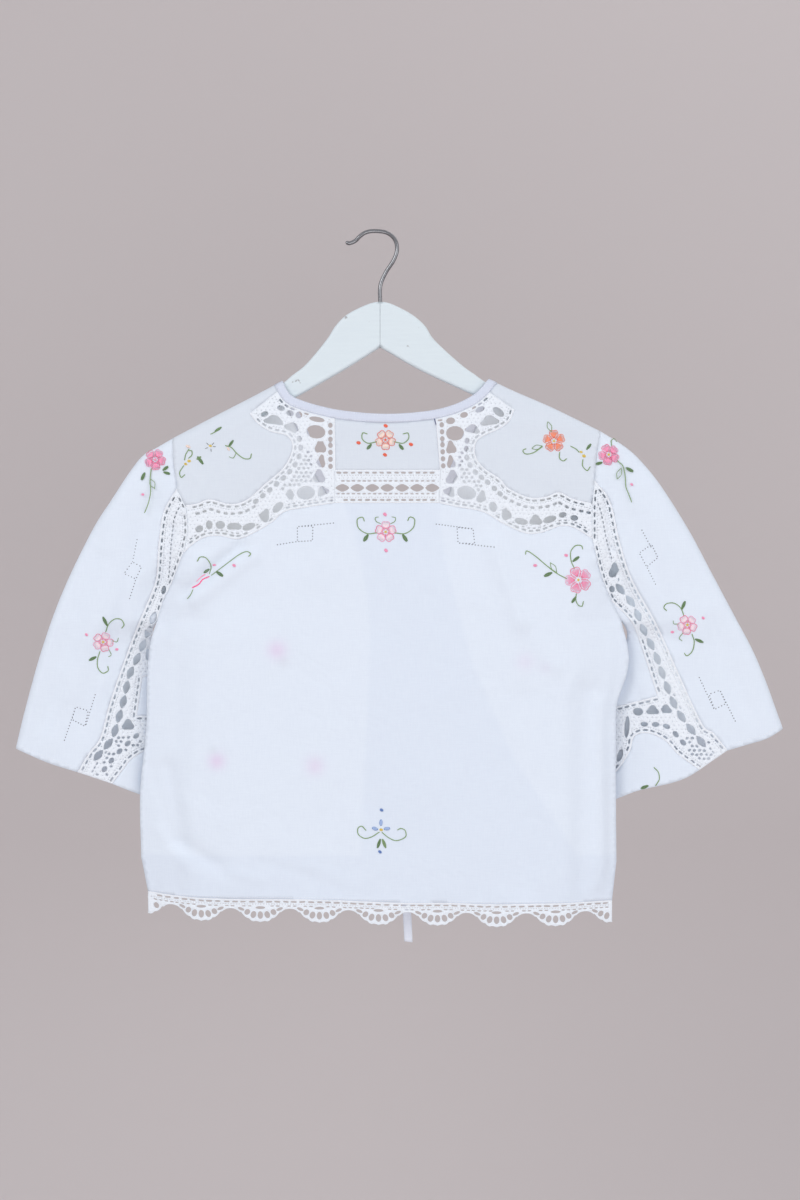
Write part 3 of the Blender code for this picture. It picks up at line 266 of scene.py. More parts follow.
# Each seam runs from one named place through its own points to another
seams = {
    "shoulder_left": ("band_left", (-129, 168), (-164, 186), "armhole_top_left"),
    "sleeve_fold_left": ("armhole_top_left", (-219, 216), (-233, 224), (-246, 240), (-265, 269),
        (-284, 299), (-313, 359), (-335, 419), (-352, 479), "cuff_out_left"),
    "cuff_cloth_left": ("cuff_out_left", (-329, 532), "cuff_lace_out_left"),
    "cuff_lace_left": ("cuff_lace_out_left", "cuff_lace_in_left"),
    "cuff_under_left": ("cuff_lace_in_left", (-237, 565), "cuff_in_left"),
    "armhole_a_left": ("armhole_top_left", (-202, 229), "sleeve_lace_top_left"),
    "armhole_b_left": ("sleeve_lace_top_left", "yoke_up_end_left"),
    "armhole_c_left": ("yoke_up_end_left", (-187, 299), "yoke_low_end_left"),
    "armhole_d_left": ("yoke_low_end_left", (-203, 351), (-212, 369), "underarm_left"),
    "side_a_left": ("underarm_left", (-226, 413), (-229, 450), (-230, 500), (-236, 562),
        "side_front_left"),
    "side_b_left": ("side_front_left", "hem_left"),
    "yoke_end_left": ("neck_split_0", "yoke_tip_left"),
    "yoke_up_left": ("yoke_tip_left", (-117, 192), (-104, 200), (-87, 205), (-82, 218),
        (-91, 237), (-109, 253), (-129, 270), (-146, 273.5), (-165, 269), (-177, 273),
        "yoke_up_end_left"),
    "yoke_low_left": ("ladder_low_left", (-69, 276), (-91, 280.5), (-102.5, 290.5), (-122, 302),
        (-138, 307.5), (-154, 304.5), (-169, 305.5), (-181, 312), "yoke_low_end_left"),
    "patch_side_left": ("neck_split_1", "patch_low_left"),
    "ladder_end_left": ("patch_low_left", "ladder_low_left"),
    "patch_low": ("patch_low_left", "patch_low_right"),
    "ladder_low": ("ladder_low_left", "ladder_low_right"),
    "patch_side_right": ("neck_split_2", "patch_low_right"),
    "ladder_end_right": ("patch_low_right", "ladder_low_right"),
    "sleeve_lace_left": ("sleeve_lace_top_left", (-211, 281), (-215.5, 309), (-219.5, 348),
        (-231, 378), (-246, 413), (-265.5, 470), (-275.5, 507), (-287, 523), "cuff_lace_out_left"),
    "under_top_left": ("under_corner_left", "under_top_left"),
    "under_side_left": ("under_corner_left", "under_heel_left"),
    "under_low_left": ("under_heel_left", "under_low_left"),
    "scallop_left": ("cuff_lace_in_left", (-255.5, 541), (-245.5, 528.5), (-232, 521),
        "scallop_in_left"),
    "inner_a_left": ("underarm_left", (-224.5, 399), (-226, 410), (-223, 425), "under_top_left"),
    "inner_b_left": ("under_top_left", "under_low_left"),
    "inner_c_left": ("under_low_left", "scallop_in_left"),
    "inner_d_left": ("scallop_in_left", "cuff_in_left"),
    "shoulder_right": ("band_right", (141, 160), (178, 176), "armhole_top_right"),
    "sleeve_fold_right": ("armhole_top_right", (252, 216), (269, 232), (288, 256), (315, 299),
        (339, 344), (363, 389), (379, 419), (392, 449), (403, 479), "cuff_out_right"),
    "cuff_cloth_right": ("cuff_out_right", (393, 508), (377, 513), "cuff_lace_out_right"),
    "cuff_lace_right": ("cuff_lace_out_right", (340, 529), "cuff_lace_in_right"),
    "cuff_under_right": ("cuff_lace_in_right", (313, 547), (297, 553), (265, 561), (243, 570),
        "cuff_in_right"),
    "armhole_a_right": ("armhole_top_right", (222, 224), "sleeve_lace_top_right"),
    "armhole_b_right": ("sleeve_lace_top_right", "yoke_up_end_right"),
    "armhole_c_right": ("yoke_up_end_right", (217, 291), "yoke_low_end_right"),
    "armhole_d_right": ("yoke_low_end_right", (222, 329), (228, 349), "under_lace_right"),
    "armhole_e_right": ("under_lace_right", "underarm_right"),
    "side_a_right": ("underarm_right", (254.5, 420), (253, 443), (243, 474), (242, 509),
        (242, 577), "side_front_right"),
    "side_b_right": ("side_front_right", "hem_right"),
    "yoke_end_right": ("neck_split_3", "yoke_tip_right"),
    "yoke_up_right": ("yoke_tip_right", (134.5, 189), (124.5, 197), (106, 206), (100, 213),
        (100, 225), (108, 237), (124.5, 248.5), (132, 257), (147.5, 265), (159, 267.5),
        (172, 266), (184, 262), (198, 268.5), "yoke_up_end_right"),
    "yoke_low_right": ("ladder_low_right", (79.5, 275), (108, 280.5), (128, 292), (149.5, 301.5),
        (165, 301.5), (184, 295), (198, 296), "yoke_low_end_right"),
    "sleeve_lace_right": ("sleeve_lace_top_right", (235, 271), (244.5, 311), (257, 348),
        (284.5, 398), (302, 438), (327, 492.5), (339, 503), "cuff_lace_out_right"),
    "under_side_right": ("under_lace_right", (259.5, 393), (273, 429), "under_heel_right"),
    "under_low_right": ("under_heel_right", (242, 477.5), "under_low_right"),
    "scallop_right": ("cuff_lace_in_right", (304.5, 523.5), (292, 510), (275, 502.5), (261, 506),
        (256, 522), (243, 542), "scallop_in_right"),
    "inner_a_right": ("underarm_right", (253.5, 399), (253.5, 410), (244, 427), "under_low_right"),
    "inner_c_right": ("under_low_right", "scallop_in_right"),
    "inner_d_right": ("scallop_in_right", "cuff_in_right"),
    "hem_back": ("hem_left", (-192, 666), (-142, 668), (-56, 669), (25, 672), (71, 672),
        (121, 673.5), (187, 672.5), "hem_right"),
    "hem_front_left": ("side_front_left", (-195, 614), (-155, 614), (-95, 620), (-55, 625),
        "front_low_left"),
    "hem_front_right": ("front_low_right", "side_front_right"),
}

bodyBeyond = {
    "left": ((-375, 249), (-255, 309), (-229, 357)),
    "right": ((405, 249), (280, 309), (257, 357)),
}
sleeveBeyond = {
    "left": ((-45, 269), (-145, 314), (-197, 357)), "right": ((75, 269), (173, 314), (225, 357)),
}

# Folds: first end, second end, half width, height; a trough has a height below 0
backFolds = (
    ((-191, 363), (-133, 314), 6, -3.6), ((-179, 371), (-121, 325), 7, 2.6),
    ((119, 314), (147, 391), 10, 2.6), ((147, 391), (181, 433), 9, 2.2),
    ((229, 474), (225, 649), 11, 3.2), ((209, 459), (207, 649), 9, -2.0),
    ((-207, 539), (-193, 612), 9, -2.8), ((-193, 612), (-153, 637), 8, -2.4),
    ((-135, 409), (-139, 649), 24, 2.4), ((-45, 369), (-50, 649), 22, -1.8),
    ((65, 359), (71, 649), 26, 2.0), ((145, 469), (151, 654), 18, -2.0),
    ((-175, 329), (-203, 409), 8, 2.2),
)
frontFolds = (
    ((-145, 289), (-135, 589), 22, 3.0), ((-75, 409), (-79, 599), 20, -2.2),
    ((-193, 329), (-170, 469), 14, 2.4), ((145, 289), (185, 509), 20, 2.6),
    ((210, 369), (215, 589), 14, -2.2),
)
sleeveFolds = (
    ((-247, 259), (-301, 459), 15, 2.4), ((-277, 329), (-329, 489), 12, -1.8),
    ((-225, 269), (-263, 419), 10, -2.0), ((275, 254), (331, 379), 15, 2.4),
    ((315, 349), (370, 474), 13, -1.8), ((259, 289), (301, 409), 10, -2.0),
)


# Curves in the plane

rowsBelowFold = (0.6, 1.6, 3.0, 5.0, 7.6)  # rows of points just inside the top fold


def softCurve(points, step, rowsAtStart=False, rowsAtEnd=False):
    points = np.array(points, float)
    if len(points) > 2:
        ends = np.vstack([2 * points[0] - points[1], points, 2 * points[-1] - points[-2]])
        share = np.linspace(0, 1, 24, endpoint=False)[:, None]
        runs = []
        for i in range(1, len(ends) - 2):
            before, start, end, after = ends[i - 1:i + 3]
            bend = (end - before) / 2
            leave = (after - start) / 2
            runs.append(start + bend * share
                        + (3 * (end - start) - 2 * bend - leave) * share ** 2
                        + (2 * (start - end) + bend + leave) * share ** 3)
        points = np.vstack(runs + [points[-1:]])
    along = runLengths(points)
    marks = list(np.linspace(0, along[-1], max(1, round(along[-1] / step)) + 1))
    rows = rowsBelowFold
    if rowsAtStart:
        marks = [0, *rows] + [m for m in marks if m > rows[-1] + step / 3]
    if rowsAtEnd:
        last = along[-1]
        marks = [m for m in marks if m < last - rows[-1] - step / 3]
        marks += [last - row for row in reversed(rows)] + [last]
    return np.column_stack([np.interp(marks, along, points[:, k]) for k in (0, 1)])


def runLengths(points):
    return np.concatenate([[0], np.cumsum(np.linalg.norm(np.diff(points, axis=0), axis=1))])


def walk(line, first, step, reach, short=0.0, shift=lambda: 0.0):
    # Places at steps along a line, each with the way from reach before it to reach after it
    along = runLengths(line)
    for mark in np.arange(first, along[-1] - short, step):
        mark += shift()
        here, near, far = ([np.interp(mark + d, along, line[:, k]) for k in (0, 1)]
                           for d in (0, -reach, reach))
        yield here, (far[0] - near[0], far[1] - near[1])


def beside(points, distance):
    # The same curve moved sideways, to the right of its own run seen from behind
    run = np.gradient(points, axis=0)
    run /= np.maximum(np.linalg.norm(run, axis=1)[:, None], 1e-9)
    return points + distance * np.column_stack([run[:, 1], -run[:, 0]])


def nearest(points, line):
    # Distance to a line of points, and how far along it the nearest place lies
    best = np.full(len(points), np.inf)
    place = np.zeros(len(points))
    along = runLengths(line)
    for i in range(len(line) - 1):
        run = line[i + 1] - line[i]
        share = np.clip((points - line[i]) @ run / max(run @ run, 1e-9), 0, 1)
        away = np.linalg.norm(points - line[i] - share[:, None] * run, axis=1)
        closer = away < best
        best[closer] = away[closer]
        place[closer] = along[i] + share[closer] * (along[i + 1] - along[i])
    return best, place


def isInside(points, loop):
    result = np.zeros(len(points), bool)
    for (x1, d1), (x2, d2) in zip(loop, np.roll(loop, -1, axis=0)):
        crosses = (d1 > points[:, 1]) != (d2 > points[:, 1])
        meet = x1 + (points[:, 1] - d1) * (x2 - x1) / (d2 - d1 if d2 != d1 else 1e-9)
        result ^= crosses & (points[:, 0] < meet)
    return result


cloth = {
    "edgeStep": 3.4,  # spacing of points along an outline
    "clothStep": 3.9,  # spacing of points inside woven cloth
    "frontStep": 5.2,  # the same on the fronts
    "laceStep": 2.1,  # the same inside crochet
    "thick": 0.8,  # woven cloth
    "laceThick": 1.0,
    "bandThick": 1.6,  # folded binding
    "bindingWide": 9.0,
}
foldPlaces = ("neck", "band", "armhole_top", "cuff_out")


def onFold(place):
    return isinstance(place, str) and place.rsplit("_", 1)[0] in foldPlaces


def makeEdges(step):
    # Every named edge as points in the plane
    marks = dict(places)
    edges = {"neck": softCurve(neckLine, step, True, True)}
    low = beside(edges["neck"], -cloth["bindingWide"])
    low[0] = marks["band_left"]
    low[-1] = marks["band_right"]
    splits = [int(np.argmin(abs(low[:, 0] - across))) for across in neckSplits]
    for number, at in enumerate(splits):
        marks["neck_split_%d" % number] = tuple(low[at])
    stops = [0, *splits, len(low) - 1]
    for number in range(len(stops) - 1):
        edges["neck_low_%d" % number] = low[stops[number]:stops[number + 1] + 1]
    for side, turn in (("left", 1), ("right", -1)):
        edges["opening_" + side] = softCurve(openings[side], step, True, False)
        inner = beside(edges["opening_" + side], -turn * cloth["bindingWide"])
        inner[0] = marks["band_" + side]
        inner[-1] = marks["front_low_" + side]
        edges["front_edge_" + side] = inner
        for name, ends in (("band_top_", ("neck_", "band_")),
                           ("band_low_", ("front_low_", "opening_low_"))):
            edges[name + side] = np.array([marks[end + side] for end in ends], float)
    for name, stops in seams.items():
        points = [marks[stop] if isinstance(stop, str) else stop for stop in stops]
        across = "fold" not in name and "shoulder" not in name
        edges[name] = softCurve(points, step, *(across and onFold(stops[k]) for k in (0, -1)))
    return edges


def openRun(edges, names):
    # One line of points from edges in turn; a minus before a name runs it backwards
    points = []
    for name in names:
        run = edges[name[1:]][::-1] if name.startswith("-") else edges[name]
        points.extend(run[1 if points else 0:])
    return np.array(points)


def turnRight(loop):
    ahead = np.roll(loop, -1, axis=0)
    area = np.sum(loop[:, 0] * ahead[:, 1] - ahead[:, 0] * loop[:, 1]) / 2
    return (loop, area) if area > 0 else (loop[::-1], -area)


# How far the cloth stands from the middle plane

form = {
    "bodyDeep": 18.0, "sideReach": 55.0,
    "sleeveDeep": 13.0, "sleeveReach": 55.0,
    "foldDeep": 8.6, "foldReach": 6.0, "slopeReach": 70.0,
    "seamDeep": 0.9, "foldFade": 5.0,
    "tuck": 18.0, "tuckDown": 16.0, "tuckSpread": 0.3, "tuckAcross": 120.0, "tuckRest": 0.3,
    "blend": 30.0, "softness": 1.2, "softLow": 4.8,
}


def ease(share):
    share = np.clip(share, 0, 1)
    return share * share * (3 - 2 * share)


def softLeast(one, other):
    low, high = np.minimum(one, other), np.maximum(one, other)
    rounding = form["softness"] * np.log1p(np.exp(-(high - low) / form["softness"]))
    return low - rounding * np.clip(low / form["softLow"], 0, 1)


def raiseFolds(points, folds):
    height = np.zeros(len(points))
    for start, end, half, high in folds:
        line = np.array([start, end], float)
        away, along = nearest(points, line)
        height += high * np.exp(-(away / half) ** 2)
    return height


class Form:
    def __init__(self, edges):
        self.folds, self.bodySide, self.sleeveSide, self.armhole = {}, {}, {}, {}
        for side in ("left", "right"):
            parts = [name + side for name in ("band_top_", "shoulder_", "sleeve_fold_")]
            self.folds[side] = openRun(edges, parts)
            line = openRun(edges, ["side_a_" + side, "side_b_" + side])
            self.bodySide[side] = np.vstack([bodyBeyond[side], line])
            names = ["inner_%s_%s" % (part, side) for part in "abcd"]
            line = openRun(edges, [name for name in names if name in edges])
            self.sleeveSide[side] = np.vstack([sleeveBeyond[side], line])
            names = ["armhole_%s_%s" % (part, side) for part in "abcde"]
            self.armhole[side] = openRun(edges, [name for name in names if name in edges])[::2]
        self.order = {side: np.argsort(line[:, 0]) for side, line in self.folds.items()}

    def foldBow(self, points, full):
        best = np.full(len(points), np.inf)
        sign = np.ones(len(points))
        for side, line in self.folds.items():
            order = self.order[side]
            level = np.interp(points[:, 0], line[order, 0], line[order, 1])
            reach = (points[:, 0] - line[0, 0]) * (1 if side == "right" else -1)
            sign = np.where((reach >= 0) & (points[:, 1] < level), -1.0, sign)
            best = np.minimum(best, nearest(points, line)[0])
        turn = 1 - np.clip(best / form["foldReach"], 0, 1)
        bow = form["foldDeep"] * np.sqrt(1 - turn ** 2)
        return sign * (bow + (full - form["foldDeep"]) * np.clip(best / form["slopeReach"], 0, 1))

    def within(self, points, line, toward):
        across = np.interp(points[:, 1], line[:, 1], line[:, 0])
        return np.maximum(0, (points[:, 0] - across) * toward)

    def fade(self, bow):
        return np.clip((bow - form["seamDeep"]) / form["foldFade"], 0, 1)

    def body(self, points, folds):
        bow = self.foldBow(points, form["bodyDeep"])
        rise = form["bodyDeep"] - form["seamDeep"]
        for side, toward in (("left", 1), ("right", -1)):
            within = self.within(points, self.bodySide[side], toward)
            ramp = form["seamDeep"] + rise * np.clip(within / form["sideReach"], 0, 1)
            bow = softLeast(bow, ramp)
        return bow + raiseFolds(points, folds) * self.fade(bow)

    def sleeve(self, points, side, folds):
        within = self.within(points, self.sleeveSide[side], -1 if side == "left" else 1)
        rise = form["sleeveDeep"] - form["seamDeep"]
        ramp = form["seamDeep"] + rise * np.clip(within / form["sleeveReach"], 0, 1)
        own = softLeast(self.foldBow(points, form["sleeveDeep"]), ramp)
        own += raiseFolds(points, sleeveFolds) * self.fade(own)
        share = ease(nearest(points, self.armhole[side])[0] / form["blend"])
        bow = (1 - share) * self.body(points, folds) + share * own
        lower = np.maximum(0, points[:, 1] - places["underarm_" + side][1])
        spread = form["tuckSpread"] * within
        lower = lower ** 2 / (lower + spread + 1e-6)
        tuck = form["tuck"] * (1 - np.exp(-lower / (form["tuckDown"] + spread)))
        tuck *= 1 - (1 - form["tuckRest"]) * ease(within / form["tuckAcross"])
        return bow, tuck

    def place(self, points, face, kind):
        folds = backFolds if face == "back" else frontFolds
        if kind == "body":
            bow, tuck = self.body(points, folds), np.zeros(len(points))
        else:
            bow, tuck = self.sleeve(points, kind, folds)
        return bow + smallCreases(points, face, kind) * self.fade(bow), tuck

    def lay(self, points, face, kind, lift):
        # Places in the frame that stand lift above the middle of the cloth, with the way out
        toward = -1.0 if face == "back" else 1.0
        step = 0.5
        bow, tuck = self.place(points, face, kind)
        slopes = []
        for axis in (0, 1):
            move = np.zeros(2)
            move[axis] = step
            ahead, aheadTuck = self.place(points + move, face, kind)
            slopes.append((ahead - bow + toward * (aheadTuck - tuck)) / step)
        normal = np.column_stack([-slopes[0], -slopes[1], np.ones(len(points))])
        normal /= np.linalg.norm(normal, axis=1)[:, None]
        lift = np.broadcast_to(lift, len(points))[:, None]
        flat = points + lift * normal[:, :2]
        out = np.maximum(bow + lift[:, 0] * normal[:, 2], 0.15)
        away = np.column_stack([normal[:, 0], toward * normal[:, 2], -normal[:, 1]])
        return toFrame(flat, toward * out + tuck), away


# Small creases by face and form: first end, second end, half width, height
creases = {
    ("back", "body"): (
        ((-188, 359), (-135, 314), 3.2, -1.3), ((-182, 369), (-139, 331), 4.5, 1.2),
        ((-194, 344), (-154, 317), 4.0, 0.9), ((118, 314), (145, 389), 8, 1.1),
        ((145, 389), (180, 429), 7, -0.9), ((225, 474), (229, 639), 4.5, 1.2),
        ((215, 459), (217, 649), 4.0, -0.9), ((237, 409), (232, 489), 4.0, 0.8),
        ((-225, 536), (-202, 612), 6, -1.2), ((-202, 612), (-160, 634), 6, -0.9),
        ((-217, 599), (-185, 641), 5, 0.8), ((-160, 635), (-113, 649), 5, 1.0),
        ((-113, 631), (-65, 646), 5, -0.8), ((-65, 635), (-23, 653), 6, 0.8),
        ((5, 329), (-3, 529), 16, 0.7), ((55, 369), (63, 619), 13, -0.8),
        ((-75, 349), (-83, 489), 14, 0.8), ((-123, 369), (-129, 559), 11, -0.9),
        ((95, 409), (101, 649), 12, 0.7), ((-39, 559), (-35, 659), 10, -0.7),
        ((185, 469), (191, 659), 10, 0.8), ((165, 369), (191, 459), 8, 0.8),
        ((-170, 409), (-183, 529), 9, 0.9), ((-197, 409), (-199, 509), 6, -0.8),
        ((125, 189), (185, 195), 5, 0.9), ((145, 209), (215, 211), 5, -0.7),
        ((-120, 184), (-185, 215), 5, 0.8), ((-135, 209), (-193, 239), 5, -0.6),
        ((-180, 249), (-195, 224), 4, 0.7)),
    ("back", "left"): (
        ((-203, 297), (-218, 369), 4.2, -3.2), ((-255, 269), (-289, 369), 10, 1.1),
        ((-279, 309), (-317, 429), 9, -0.9), ((-291, 409), (-325, 514), 9, 0.9),
        ((-315, 459), (-345, 521), 8, -0.7), ((-235, 299), (-263, 409), 7, -0.8),
        ((-271, 449), (-291, 519), 6, 0.7), ((-210, 289), (-225, 369), 5, 1.0),
        ((-203, 329), (-223, 405), 5, -0.9)),
    ("back", "right"): (
        ((231, 269), (237, 317), 4.2, -3.0), ((237, 317), (255, 369), 4.2, -2.6),
        ((285, 289), (331, 399), 10, 1.1), ((315, 329), (367, 449), 9, -0.9),
        ((325, 409), (369, 499), 9, 0.9), ((265, 309), (301, 389), 7, -0.8),
        ((245, 409), (277, 469), 6, 0.9), ((237, 369), (247, 459), 5, -0.8),
        ((361, 429), (393, 501), 8, 0.8)),
    ("front", "body"): (
        ((-145, 309), (-153, 569), 14, 1.0), ((-55, 329), (-61, 569), 12, -0.9),
        ((155, 309), (173, 559), 13, 1.0), ((-185, 329), (-135, 289), 5, -1.2),
        ((215, 329), (165, 289), 5, -1.1), ((95, 249), (145, 369), 10, 0.8),
        ((-95, 199), (-125, 329), 12, 0.8)),
    ("front", "left"): (
        ((-255, 289), (-295, 409), 10, 1.1), ((-285, 369), (-323, 499), 9, -0.9),
        ((-235, 329), (-265, 469), 8, 0.8)),
    ("front", "right"): (
        ((285, 289), (325, 409), 10, 1.1), ((325, 359), (373, 479), 9, -0.9),
        ((265, 369), (285, 489), 7, 0.8)),
}

# Puckers by face and form: seam, half width, height, spacing
puckerRows = {
    ("back", "body"): (
        ("armhole_c_left", 9, 0.9, 10), ("armhole_d_left", 11, 1.1, 11),
        ("armhole_c_right", 8, 0.8, 9), ("armhole_d_right", 10, 1.0, 12),
        ("armhole_a_left", 7, 0.5, 12), ("armhole_a_right", 7, 0.5, 12),
        ("yoke_low_left", 7, 0.5, 13), ("yoke_low_right", 7, 0.5, 12),
        ("hem_back", 17, 0.8, 27), ("side_a_left", 6, 0.7, 17), ("side_a_right", 6, 0.7, 15)),
    ("back", "left"): (
        ("armhole_b_left", 9, 0.9, 9), ("armhole_c_left", 10, 1.1, 9),
        ("armhole_d_left", 10, 1.0, 10), ("inner_a_left", 7, 0.8, 9),
        ("inner_b_left", 7, 0.8, 11), ("sleeve_lace_left", 6, 0.5, 13)),
    ("back", "right"): (
        ("armhole_b_right", 9, 0.9, 9), ("armhole_c_right", 9, 1.0, 9),
        ("armhole_d_right", 10, 1.0, 10), ("inner_a_right", 7, 0.8, 10),
        ("sleeve_lace_right", 6, 0.5, 13), ("under_side_right", 6, 0.6, 11)),
    ("front", "body"): (
        ("armhole_c_left", 11, 0.9, 12), ("armhole_d_left", 11, 1.1, 11),
        ("armhole_c_right", 11, 0.9, 12), ("armhole_d_right", 11, 1.0, 11),
        ("front_edge_left", 8, 0.5, 24), ("front_edge_right", 8, 0.5, 26)),
    ("front", "left"): (
        ("armhole_b_left", 10, 1.0, 11), ("armhole_c_left", 10, 1.0, 10)),
    ("front", "right"): (
        ("armhole_b_right", 10, 1.0, 11), ("armhole_c_right", 10, 1.0, 10)),
}


def smallCreases(points, face, kind):
    height = raiseFolds(points, creases.get((face, kind), ()))
    for name, half, high, spacing in puckerRows.get((face, kind), ()):
        away, along = nearest(points, coarseEdges[name])
        # Uneven spacing: the wave's own phase wanders along the seam
        phase = along / spacing + 0.8 * np.sin(along / 23 + half) + 0.4 * np.sin(along / 9.5)
        swell = 0.65 + 0.35 * np.sin(along / 31 + spacing)
        height += high * swell * np.sin(2 * math.pi * phase) * np.exp(-(away / half) ** 2)
    return height


fineEdges = makeEdges(cloth["edgeStep"])
coarseEdges = makeEdges(12.0)
shape = Form(fineEdges)


# Finishes

def startTree(name, kind, inputs, outputs):
    # A tree with its sockets, as name: (type, value); it gives its inputs as outputs to link from
    tree = bpy.data.node_groups.new(name, kind)
    for way, sockets in (("INPUT", inputs), ("OUTPUT", outputs)):
        for label, (sort, value) in sockets.items():
            socket = tree.interface.new_socket(label, in_out=way, socket_type="NodeSocket" + sort)
            if value is not None:
                socket.default_value = value
    return tree, addNode(tree, "NodeGroupInput", (-1000, 0)).outputs


def effectGroup(name, inputs, outputs):
    sockets = {"Vector": ("Vector", None)}
    sockets.update({label: ("Float", value) for label, value in inputs.items()})
    outputs = {label: ("Float", None) for label in outputs}
    return startTree(name, "ShaderNodeTree", sockets, outputs)


def makePlainWeave():
    # Over-and-under threads with slubs: a height, and a mask of thicker threads
    tree, given = effectGroup(
        "plainWeave", {"Threads Per Metre": 1700.0, "Slub Scale": 1100.0}, ("Height", "Slub"))
    split = addNode(tree, "ShaderNodeSeparateXYZ", (-700, 0), {0: given["Vector"]})
    waves, slubs = [], []
    for row, axis in enumerate("XY"):
        level = -180 * row
        count = addMath(tree, (-500, level), "MULTIPLY", split.outputs[axis],
                        given["Threads Per Metre"])
        turn = addMath(tree, (-340, level), "MULTIPLY", count, 2 * math.pi)
        waves.append(addMath(tree, (-180, level), "SINE", turn))
    weave = addMath(tree, (0, -60), "MULTIPLY", *waves)
    for row, stretch in enumerate(((1.0, 0.06, 1.0), (0.06, 1.0, 1.0))):
        level = -420 - 220 * row
        drawn = addNode(tree, "ShaderNodeVectorMath", (-500, level),
                        {0: given["Vector"], 1: stretch}, operation="MULTIPLY")
        noise = addNode(tree, "ShaderNodeTexNoise", (-300, level), {
            "Vector": drawn.outputs[0], "Scale": given["Slub Scale"], "Detail": 1.5})
        slubs.append(noise.outputs["Fac"])
    both = addMath(tree, (-60, -480), "ADD", *slubs)
    spread = addRange(tree, (100, -480), both, {"From Min": 0.7, "From Max": 1.3})
    total = addMath(tree, (260, -120), "MULTIPLY_ADD", weave, 0.35, spread)
    addNode(tree, "NodeGroupOutput", (500, 0), {"Height": total, "Slub": spread})
    return tree


def makeSoftRumple():
    # Faint creases from folding and handling: a height
    tree, given = effectGroup(
        "softRumple", {"Creases Per Metre": 16.0, "Twist": 1.2}, ("Height",))
    broad = addNode(tree, "ShaderNodeTexNoise", (-500, 120), {
        "Vector": given["Vector"], "Scale": given["Creases Per Metre"], "Detail": 3.0,
        "Roughness": 0.45, "Distortion": given["Twist"]})
    more = addMath(tree, (-700, -200), "MULTIPLY", given["Creases Per Metre"], 1.7)
    fine = addNode(tree, "ShaderNodeTexVoronoi", (-500, -160), {
        "Vector": given["Vector"], "Scale": more, "Smoothness": 1.0}, feature="SMOOTH_F1")
    total = addMath(tree, (-200, 0), "MULTIPLY_ADD", fine.outputs["Distance"], 0.4,
                    broad.outputs["Fac"])
    addNode(tree, "NodeGroupOutput", (500, 0), {"Height": total})
    return tree


def makeYarnLoops():
    # Small rounded loops of crochet yarn: a height, and a mask of the hollows between them, where
    # shade is painted into the colour
    tree, given = effectGroup("yarnLoops", {"Loops Per Metre": 850.0}, ("Height", "Hollow"))
    cells = addNode(tree, "ShaderNodeTexVoronoi", (-500, 60), {
        "Vector": given["Vector"], "Scale": given["Loops Per Metre"], "Randomness": 0.7},
        feature="F1").outputs["Distance"]
    dome = addMath(tree, (-250, 60), "SUBTRACT", 1.0, cells)
    hollowShade = addRange(tree, (-250, -160), cells, {"From Min": 0.35, "From Max": 0.75})
    addNode(tree, "NodeGroupOutput", (500, 0), {"Height": dome, "Hollow": hollowShade})
    return tree


plainWeave = makePlainWeave()
softRumple = makeSoftRumple()
yarnLoops = makeYarnLoops()


def useGroup(tree, group, place, vector, values):
    return addNode(tree, "ShaderNodeGroup", place, {"Vector": vector, **values},
                   node_tree=group).outputs


def addBump(tree, place, height, strength, distance, before=None):
    inputs = {"Strength": strength, "Distance": distance, "Height": height}
    if before:
        inputs["Normal"] = before
    return addNode(tree, "ShaderNodeBump", place, inputs).outputs["Normal"]


fabrics = {
    # light thread, dark thread, threads per metre, creases per metre, crease depth, sheen
    "whiteCotton": (tone(227, 236, 247), tone(223, 232, 244), 1700.0, 15.0, 0.0034, 0.2),
    # Painted light and shade: the ties and the binding are one bias cloth; the ties' copy is
    # painted lighter for the shade they hang in below the hem, and the binding's copy is painted
    # darker, as painted shade, over its own lavender tint
    "tieTapePaintedLight": (tone(240, 245, 255), tone(232, 238, 251), 2100.0, 30.0, 0.0010, 0.15),
    "biasTapeTintAndShade": (tone(216, 223, 238), tone(211, 218, 234), 2100.0, 30.0, 0.0010, 0.15),
}


def makeFabric(name):
    light, dark, threads, rumples, rumpleDeep, sheen = fabrics[name]
    material, tree, shader = startMaterial(name, {
        "Roughness": 0.86, "Specular IOR Level": 0.22, "Sheen Weight": sheen,
        "Sheen Roughness": 0.55})
    spot = addNode(tree, "ShaderNodeUVMap", (-1100, 0), uv_map="cut").outputs["UV"]
    weave = useGroup(tree, plainWeave, (-800, -200), spot, {"Threads Per Metre": threads})
    rumple = useGroup(tree, softRumple, (-800, 100), spot, {"Creases Per Metre": rumples})
    plain = addMix(tree, (-500, 300), weave["Slub"], dark, light)
    # Painted show-through: light and shade from behind the cloth, multiplied into the thread
    # colour
    paintedThrough = addNode(tree, "ShaderNodeAttribute", (-500, 560), attribute_name="paintedThrough")
    tint = addMix(tree, (-260, 300), 1.0, plain, paintedThrough.outputs["Color"], "MULTIPLY")
    soft = addBump(tree, (-500, 0), rumple["Height"], 0.55, rumpleDeep)
    fine = addBump(tree, (-260, -120), weave["Height"], 0.25, 0.00012, soft)
    feed(tree, shader, {"Base Color": tint, "Normal": fine})
    return material


yarns = {
    # light yarn, painted shade colour in the hollows, loops per metre, bump depth
    "crochetCotton": (tone(236, 242, 249), tone(229, 235, 243), 850.0, 0.00016),
    "crochetThread": (tone(240, 246, 252), tone(233, 239, 246), 1300.0, 0.00012),
    "sewingThread": (tone(236, 239, 250), tone(206, 212, 230), 1900.0, 0.00015),
}


